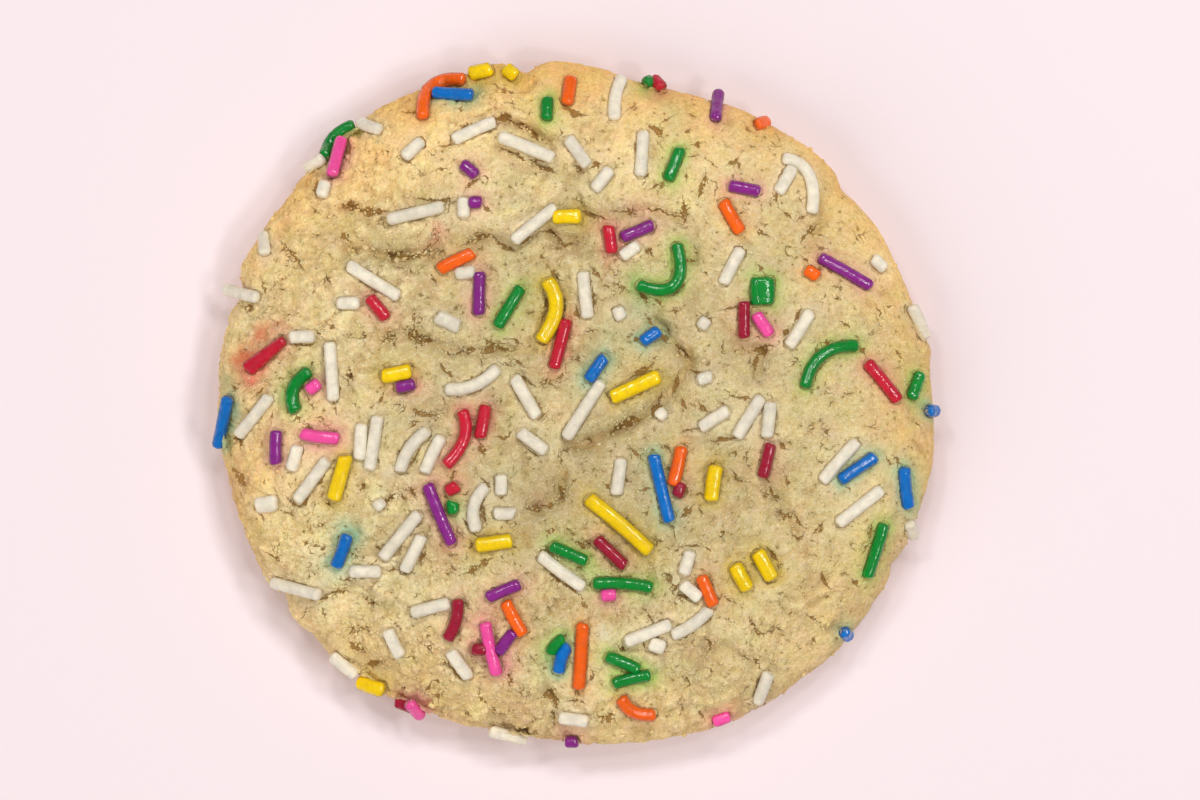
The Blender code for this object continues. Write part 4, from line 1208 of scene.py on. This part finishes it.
crumb_corners, crumb_faces = closed_lump(2, 5)
grain_corners, grain_faces = closed_lump(1, 4)
print("a crumb has", len(crumb_faces), "faces, a grain", len(grain_faces))

# %% Scatter helper, and where a crumb may lie
STRETCH = (0.7, 1.25)
UNEVEN_CORNERS = (0.82, 1.18)
JITTER = 0.13
SIDE_TIP = 0.8


def scatter(corners, triangles, chosen, sizes, sunk, draw):
    """Copies of a lump at the chosen skin points: each stretched, shaken, turned by a random
    unit quaternion, scaled to its size and sunk by a share of it."""
    count = len(chosen)
    shapes = corners[None] * draw.uniform(*STRETCH, (count, 1, 3))
    shapes = shapes * draw.uniform(*UNEVEN_CORNERS, (count, len(corners), 1))
    w, x, y, z = draw.normal(size=(count, 4)).T
    length = np.sqrt(w * w + x * x + y * y + z * z)
    w, x, y, z = w / length, x / length, y / length, z / length
    turns = np.array([[1 - 2 * (y * y + z * z), 2 * (x * y - w * z), 2 * (x * z + w * y)],
                      [2 * (x * y + w * z), 1 - 2 * (x * x + z * z), 2 * (y * z - w * x)],
                      [2 * (x * z - w * y), 2 * (y * z + w * x), 1 - 2 * (x * x + y * y)]])
    shapes = np.einsum("abn,nkb->nka", turns, shapes) * sizes[:, None, None]
    outwards = outward[chosen] * upright[chosen, None]
    outwards[:, 2] = 1.0 - SIDE_TIP * upright[chosen]
    outwards /= np.linalg.norm(outwards, axis=1)[:, None]
    jitter = draw.uniform(-JITTER, JITTER, (count, 3)) * (1, 1, 0)
    middles = shaped[chosen] + jitter - outwards * (sizes * sunk)[:, None]
    faces = triangles[None] + np.arange(count)[:, None, None] * len(corners)
    return (middles[:, None] + shapes).reshape(-1, 3), faces.reshape(-1, 3).tolist()


CLEAR_OF_STRANDS = 0.25
CLEAR_SPAN = 0.3
CRUMB_DROP = 1.0
SIDE_POINT_SHARE = 0.35
SPLIT_LIP = 0.35
SPLIT_LIP_WIDTH = 0.25
OPEN_SPLIT = 0.08
bare = np.clip((edge_gap - CLEAR_OF_STRANDS) / CLEAR_SPAN, 0.0, 1.0) * (drops < CRUMB_DROP)
# The points of the side lie closer together than those of the top, so each takes fewer
spacing = np.where(np.arange(len(shaped)) < number.size, 1.0, SIDE_POINT_SHARE)
on_lip = np.exp(-((split_gap - SPLIT_LIP) / SPLIT_LIP_WIDTH) ** 2) * (split_half > OPEN_SPLIT)
near_split = 1.0 + 2.0 * on_lip
chances = bare * spacing * near_split * roughness ** 2
print("points that may hold a crumb:", int((chances > 0.0).sum()))

# %% Crumbs
CRUMBS = 8500
USUAL_CRUMB = 0.15
CRUMB_SPREAD = 0.4
CRUMB_LIMITS = (0.08, 0.42)
CRUMB_SUNK = 0.45
CRUMB_TONES = (-0.03, 0.09)
draw = np.random.default_rng(SEED + 3)
crumb_places = draw.choice(len(shaped), CRUMBS, replace=False, p=chances / chances.sum())
crumb_sizes = np.clip(draw.lognormal(math.log(USUAL_CRUMB), CRUMB_SPREAD, CRUMBS), *CRUMB_LIMITS)
points, faces = scatter(crumb_corners, crumb_faces, crumb_places, crumb_sizes, CRUMB_SUNK, draw)
source = np.repeat(crumb_places, len(crumb_corners))
crumb_marks = {key: np.full(len(source), base_marks[key]) for key in marks}
crumb_marks["browned"] = browned_values[source]
crumb_marks["tone"] = (tone_light_and_shade_values[source]
                       + np.repeat(draw.uniform(*CRUMB_TONES, CRUMBS), len(crumb_corners)))
crumbs = add_piece("crumbs", points, faces, dough, crumb_marks, {"dye": dye_and_light_values[source]})

# %% [markdown]
# ## Grains of sugar
#
# White sugar crystals of about 0.3 mm. They are clear inside, so light gets a little way into
# them: the eye sees pale, slightly warm points, and here and there a glint from a flat face.

# %% Grains of sugar
GRAINS = 3500
GRAIN_RADII = (0.08, 0.15)
GRAIN_SUNK = 0.35
crystal = new_material("white_sugar_crystals")
shader = add_node(crystal, "ShaderNodeBsdfPrincipled", {
    "Base Color": rgba("EAD9AA"), "Roughness": 0.4, "IOR": 1.5, "Subsurface Weight": 0.3,
    "Subsurface Radius": (1.0, 0.9, 0.7), "Subsurface Scale": 0.3 * MM})
add_node(crystal, "ShaderNodeOutputMaterial", {"Surface": shader})
grain_chances = bare * spacing
grain_places = draw.choice(len(shaped), GRAINS, replace=False, p=grain_chances / grain_chances.sum())
grain_sizes = draw.uniform(*GRAIN_RADII, GRAINS)
points, faces = scatter(grain_corners, grain_faces, grain_places, grain_sizes, GRAIN_SUNK, draw)
add_piece("sugar_grains", points, faces, crystal)

# %% [markdown]
# ## Sugar strands
#
# Each strand is a round profile carried along its middle line. Its ends are cut across and worn
# round: the last three rings draw in, and a point in the middle of the cut closes them. All the
# strands of one colour are one mesh. A few have melted wider at one end, and one pair has run
# together.

# %% Strand surface
STRAND_SIDES = 12
RING_SPACING = 0.8
# Where the end rings lie, in mm from the cut, and their share of the full width
END_INSETS = np.array([0.0, 0.1, 0.32])
END_SHARES = np.array([0.52, 0.84, 1.0])
BODY_INSET = 0.42
POINTS_OF_A_FINE_BEND = 13
SIDEWAYS = 0.04
UNEVEN_RINGS = 0.015
RIDGES = 5
RIDGE_HEIGHT = 0.02
SLANT = 0.07
SLANT_REACH = 0.35
# Width at the start and at the end, as shares, of the strands that aren't an even rod
MELTED = {
    (287, 340, 249, 370): (0.85, 1.35), (553, 219, 581, 218): (0.95, 1.05),
    (438, 317, 461, 328): (1.15, 1.15), (258, 505, 279, 502): (1.3, 1.3),
    (649, 641, 664, 646): (1.15, 1.2), (313, 371, 295, 389, 299, 412): (1.0, 1.15),
}


def finer(axis):
    """A bend's middle line with more points: the same parabola, its height read off the five."""
    if len(axis) == 2:
        return axis
    start, middle, end = axis[0], axis[len(axis) // 2], axis[-1]
    handle = 2.0 * middle - 0.5 * (start + end)
    share = np.linspace(0.0, 1.0, POINTS_OF_A_FINE_BEND)[:, None]
    fine = (1.0 - share) ** 2 * start + 2.0 * share * (1.0 - share) * handle + share ** 2 * end
    fine[:, 2] = np.interp(share[:, 0], np.linspace(0.0, 1.0, len(axis)), axis[:, 2])
    return fine


def strand(axis, radius, flatness, widths, draw):
    """Rings round an axis: centre + radius x (width x cos x side + height x sin x up), drawn in
    at both ends, with the end rings slanted along the axis. Also gives each point's rise."""
    lengths = np.linalg.norm(np.diff(axis, axis=0), axis=1)
    length = lengths.sum()
    inner = np.linspace(BODY_INSET, length - BODY_INSET, max(2, round(length / RING_SPACING)))
    along = np.concatenate([END_INSETS, inner, length - END_INSETS[::-1]]) / length
    knots = np.concatenate([[0.0], np.cumsum(lengths)]) / length
    centre = np.column_stack([np.interp(along, knots, axis[:, part]) for part in range(3)])
    forward = np.gradient(centre, along, axis=0)
    forward /= np.linalg.norm(forward, axis=1)[:, None]
    side = np.cross(forward, (0.0, 0.0, 1.0))
    side /= np.linalg.norm(side, axis=1)[:, None]
    up = np.cross(side, forward)
    centre = centre + side * (draw.normal(0.0, SIDEWAYS) * np.sin(np.pi * along))[:, None]
    shares = np.concatenate([END_SHARES, np.ones(len(inner)), END_SHARES[::-1]])
    shares = shares * (1.0 + draw.normal(0.0, UNEVEN_RINGS, len(shares)))
    turn = np.linspace(0.0, 2.0 * math.pi, STRAND_SIDES, endpoint=False)
    ridged = 1.0 + RIDGE_HEIGHT * np.cos(RIDGES * turn + draw.uniform(0, 6))
    wide = shares * np.interp(along, [0.0, 1.0], widths)
    rise = np.broadcast_to(np.sin(turn), (len(along), STRAND_SIDES))
    rings = centre[:, None] + radius * ridged[None, :, None] * (
        (wide[:, None] * np.cos(turn))[..., None] * side[:, None]
        + (shares[:, None] * flatness * np.sin(turn))[..., None] * up[:, None])
    nearness = np.clip(1.0 - np.minimum(along, 1.0 - along) * length / SLANT_REACH, 0.0, 1.0)
    slant = draw.normal(0.0, SLANT, 2)[(along > 0.5).astype(int)] * nearness
    rings = rings + (slant[:, None] * radius * np.cos(turn))[..., None] * forward[:, None]
    points = np.concatenate([rings.reshape(-1, 3), centre[:1], centre[-1:]])
    return points, len(along), np.concatenate([rise.ravel(), [0.5, 0.5]])


def strand_faces(rings):
    """Quads between neighbouring rings and a fan over each cut end."""
    number = np.arange(rings * STRAND_SIDES).reshape(rings, STRAND_SIDES)
    ahead = np.roll(number, -1, axis=1)
    quads = np.stack([number[:-1], number[1:], ahead[1:], ahead[:-1]], axis=-1).reshape(-1, 4)
    poles = np.full(STRAND_SIDES, rings * STRAND_SIDES)
    start = np.column_stack([number[0], ahead[0], poles])
    end = np.column_stack([ahead[-1], number[-1], poles + 1])
    return quads, np.concatenate([start, end])


print("an 8 mm strand has", len(strand_faces(16)[0]), "quads")

# %% [markdown]
# ## Glazed sugar
#
# Dyed sugar paste, extruded, dried and glazed: smooth with faint ridges along it, a soft gloss
# that pits break into short lights, slightly translucent and the dye a little uneven. The flanks
# are painted darker as shade, and low down the crumb of the dough clings to them.

# %% Strand material
CLOUD_SIZE = 0.9
PIT_SIZE = 0.28
PALE_DYE = 1.04
DEEP_DYE = 0.82
CLINGING_CRUMB = "CDB483"
GLAZE_IN_PITS = 0.1


def sugar_material(name, code, flank_shade, roughness, milkiness, gloss):
    """Glazed sugar of one colour, reading each point's rise over the strand's middle."""
    sugar = new_material(name)
    place = add_node(sugar, "ShaderNodeTexCoord", out="Object")
    rise = add_node(sugar, "ShaderNodeAttribute", out="Fac", attribute_name="rise")
    tone = add_node(sugar, "ShaderNodeAttribute", out="Fac", attribute_name="tone")
    cloud = add_node(sugar, "ShaderNodeTexNoise", {
        "Vector": place, "Scale": 1.0 / (CLOUD_SIZE * MM), "Detail": 3.0, "Roughness": 0.6})
    pits = add_node(sugar, "ShaderNodeTexNoise", {
        "Vector": place, "Scale": 1.0 / (PIT_SIZE * MM), "Detail": 2.0, "Roughness": 0.6})
    cloud_share = add_node(sugar, "ShaderNodeMapRange", {0: cloud, 1: 0.3, 2: 0.7, 3: 0.0, 4: 1.0})
    body = add_node(sugar, "ShaderNodeMix", {
        0: cloud_share, 6: rgba(code, DEEP_DYE), 7: rgba(code, PALE_DYE)}, out=2, data_type="RGBA")
    # Painted shade: the flanks darker down towards the dough
    painted_flank_shade = add_node(sugar, "ShaderNodeMapRange", {0: rise, 1: 0.0, 2: 0.75, 3: flank_shade, 4: 1.0})
    painted_flank_shade = add_node(sugar, "ShaderNodeMath", {0: painted_flank_shade, 1: tone}, operation="MULTIPLY")
    body = add_node(sugar, "ShaderNodeMix", {0: 1.0, 6: body, 7: painted_flank_shade},
                    out=2, data_type="RGBA", blend_type="MULTIPLY")
    clinging = add_node(sugar, "ShaderNodeMapRange", {0: pits, 1: 0.5, 2: 0.62, 3: 0.0, 4: 1.0})
    low_down = add_node(sugar, "ShaderNodeMapRange", {0: rise, 1: 0.1, 2: 0.5, 3: 0.6, 4: 0.0})
    clinging = add_node(sugar, "ShaderNodeMath", {0: clinging, 1: low_down}, operation="MULTIPLY")
    body = add_node(sugar, "ShaderNodeMix", {0: clinging, 6: body, 7: rgba(CLINGING_CRUMB)},
                    out=2, data_type="RGBA")
    height = add_node(sugar, "ShaderNodeMath", {0: cloud, 1: pits}, operation="ADD")
    bumps = add_node(sugar, "ShaderNodeBump", {"Height": height, "Strength": 0.55, "Distance": 0.07 * MM})
    glaze = add_node(sugar, "ShaderNodeMapRange", {
        0: pits, 1: 0.46, 2: 0.56, 3: gloss, 4: GLAZE_IN_PITS * gloss})
    shader = add_node(sugar, "ShaderNodeBsdfPrincipled", {
        "Base Color": body, "Roughness": roughness, "IOR": 1.5, "Normal": bumps,
        "Specular IOR Level": 0.1, "Subsurface Weight": milkiness,
        "Subsurface Radius": (1.0, 0.8, 0.6), "Subsurface Scale": 0.3 * MM,
        "Coat Weight": glaze, "Coat Roughness": 0.09, "Coat IOR": 1.75, "Coat Normal": bumps})
    add_node(sugar, "ShaderNodeOutputMaterial", {"Surface": shader})
    return sugar


# How dark the flanks are painted as shade, how rough and how milky the sugar is, and how much glaze lies on
# it
COLOURED_SHADE_AND_FINISH = (0.5, 0.4, 0.1, 1.0)
WHITE_SHADE_AND_FINISH = (0.95, 0.5, 0.6, 0.2)
print("glaze on a coloured strand:", COLOURED_SHADE_AND_FINISH[3], "and on a white one:", WHITE_SHADE_AND_FINISH[3])

# %% Strand pieces
BRIDGE_RISE = 0.15
BRIDGE_WIDTHS = (1.9, 1.9)
STRAND_TONES = (0.93, 1.07)
fused = GREEN.index((755, 279, 755, 306))
bridge = (axes["green"][fused] + axes["green"][fused + 1]) / 2.0 + (0.0, 0.0, BRIDGE_RISE)
draw = np.random.default_rng(SEED + 1)
for colour, group in axes.items():
    rows, diameter, code, _, _, flatness = SPRINKLES[colour]
    points, faces, rises, tones = [], [], [], []
    melted = [MELTED.get(row, (1.0, 1.0)) for row in rows] + [(1.0, 1.0)] * (len(group) - len(rows))
    if colour == "green":
        group, melted = group + [bridge], melted + [BRIDGE_WIDTHS]
    for widths, axis in zip(melted, group):
        surface, rings, rise = strand(finer(axis), diameter / 2.0, flatness, widths, draw)
        start = sum(map(len, points))
        for part in strand_faces(rings):
            faces += (part + start).tolist()
        points.append(surface)
        rises.append(rise)
        tones.append(np.full(len(surface), draw.uniform(*STRAND_TONES)))
    shade_and_finish = WHITE_SHADE_AND_FINISH if colour == "white" else COLOURED_SHADE_AND_FINISH
    piece = add_piece(f"sprinkles_{colour}", np.concatenate(points), faces,
                      sugar_material(f"glazed_sugar_{colour}", code, *shade_and_finish),
                      {"rise": np.concatenate(rises), "tone": np.concatenate(tones)})
    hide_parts("cookie")

# %% [markdown]
# ## Floor, light and camera
#
# A pale painted board, so matt that the eye sees no light in it, only the cookie's soft shadow.
# Six small lamps stand in an arc from the lower right, over the right, to the upper left: each
# gives the strands a short bright light, and together a soft shadow. A large soft box at the
# lower left fills in and gives no gloss. The camera looks straight down through a long lens, so
# the cookie's scale is the same all over.

# %% Floor
FLOOR_HALF = 3.0
board = new_material("painted_board_pale")
shader = add_node(board, "ShaderNodeBsdfPrincipled", {"Base Color": rgba("F3E3E6"), "Roughness": 0.9})
add_node(board, "ShaderNodeOutputMaterial", {"Surface": shader})
floor_mesh = bpy.data.meshes.new("floor")
floor_mesh.from_pydata([(-FLOOR_HALF, -FLOOR_HALF, 0), (FLOOR_HALF, -FLOOR_HALF, 0),
                        (FLOOR_HALF, FLOOR_HALF, 0), (-FLOOR_HALF, FLOOR_HALF, 0)], [], [(0, 1, 2, 3)])
floor_mesh.materials.append(board)
floor = bpy.data.objects.new("floor", floor_mesh)
bpy.context.scene.collection.objects.link(floor)
print("floor:", 2 * FLOOR_HALF, "m square")

# %% Lights
KEY_DIRECTIONS = np.radians([-30, 0, 30, 60, 90, 120])
KEY_REACH = 0.4
KEY_HEIGHT = 0.62
KEY_SIZE = 0.1
KEY_WATTS = 0.7
FILL_PLACE = (-0.45, -0.4, 0.45)
FILL_SIZE = 0.6
FILL_WATTS = 2.7
ROOM_LIGHT = 0.2


def add_light(name, place_m, size_m, watts):
    """A square soft box that points at the cookie."""
    light = bpy.data.lights.new(name, "AREA")
    light.size = size_m
    light.energy = watts
    lamp = bpy.data.objects.new(name, light)
    lamp.location = place_m
    lamp.rotation_mode = "QUATERNION"
    lamp.rotation_quaternion = (-Vector(place_m)).to_track_quat("-Z", "Y")
    bpy.context.scene.collection.objects.link(lamp)
    return lamp


for key_number, direction in enumerate(KEY_DIRECTIONS):
    key_place = (KEY_REACH * math.cos(direction), KEY_REACH * math.sin(direction), KEY_HEIGHT)
    add_light(f"key_{key_number}", key_place, KEY_SIZE, KEY_WATTS)
fill = add_light("fill", FILL_PLACE, FILL_SIZE, FILL_WATTS)
fill.visible_glossy = False
world = bpy.data.worlds.new("studio")
world.use_nodes = True
world.node_tree.nodes["Background"].inputs["Color"].default_value = (1.0, 1.0, 1.0, 1.0)
world.node_tree.nodes["Background"].inputs["Strength"].default_value = ROOM_LIGHT
bpy.context.scene.world = world
bpy.context.scene.view_settings.view_transform = "Standard"
print("lights:", len(bpy.data.lights))

# %% Camera
LENS = 180.0
SENSOR_WIDTH = 36.0
PICTURE_SIZE = (1200, 800)
HEIGHT_IN_FOCUS = 5.0
camera_data = bpy.data.cameras.new("camera")
camera_data.lens = LENS
camera_data.sensor_width = SENSOR_WIDTH
camera_data.clip_start, camera_data.clip_end = 0.01, 10.0
camera = bpy.data.objects.new("camera", camera_data)
distance = PICTURE_SIZE[0] * PIXEL / SENSOR_WIDTH * LENS
centre_x, centre_y = (np.array(PICTURE_SIZE) / 2 - PICTURE_CENTRE) * (1, -1) * PIXEL
camera.location = (centre_x * MM, centre_y * MM, (distance + HEIGHT_IN_FOCUS) * MM)
bpy.context.scene.collection.objects.link(camera)
bpy.context.scene.camera = camera
print("camera stands", round(camera.location.z, 3), "m above the floor")
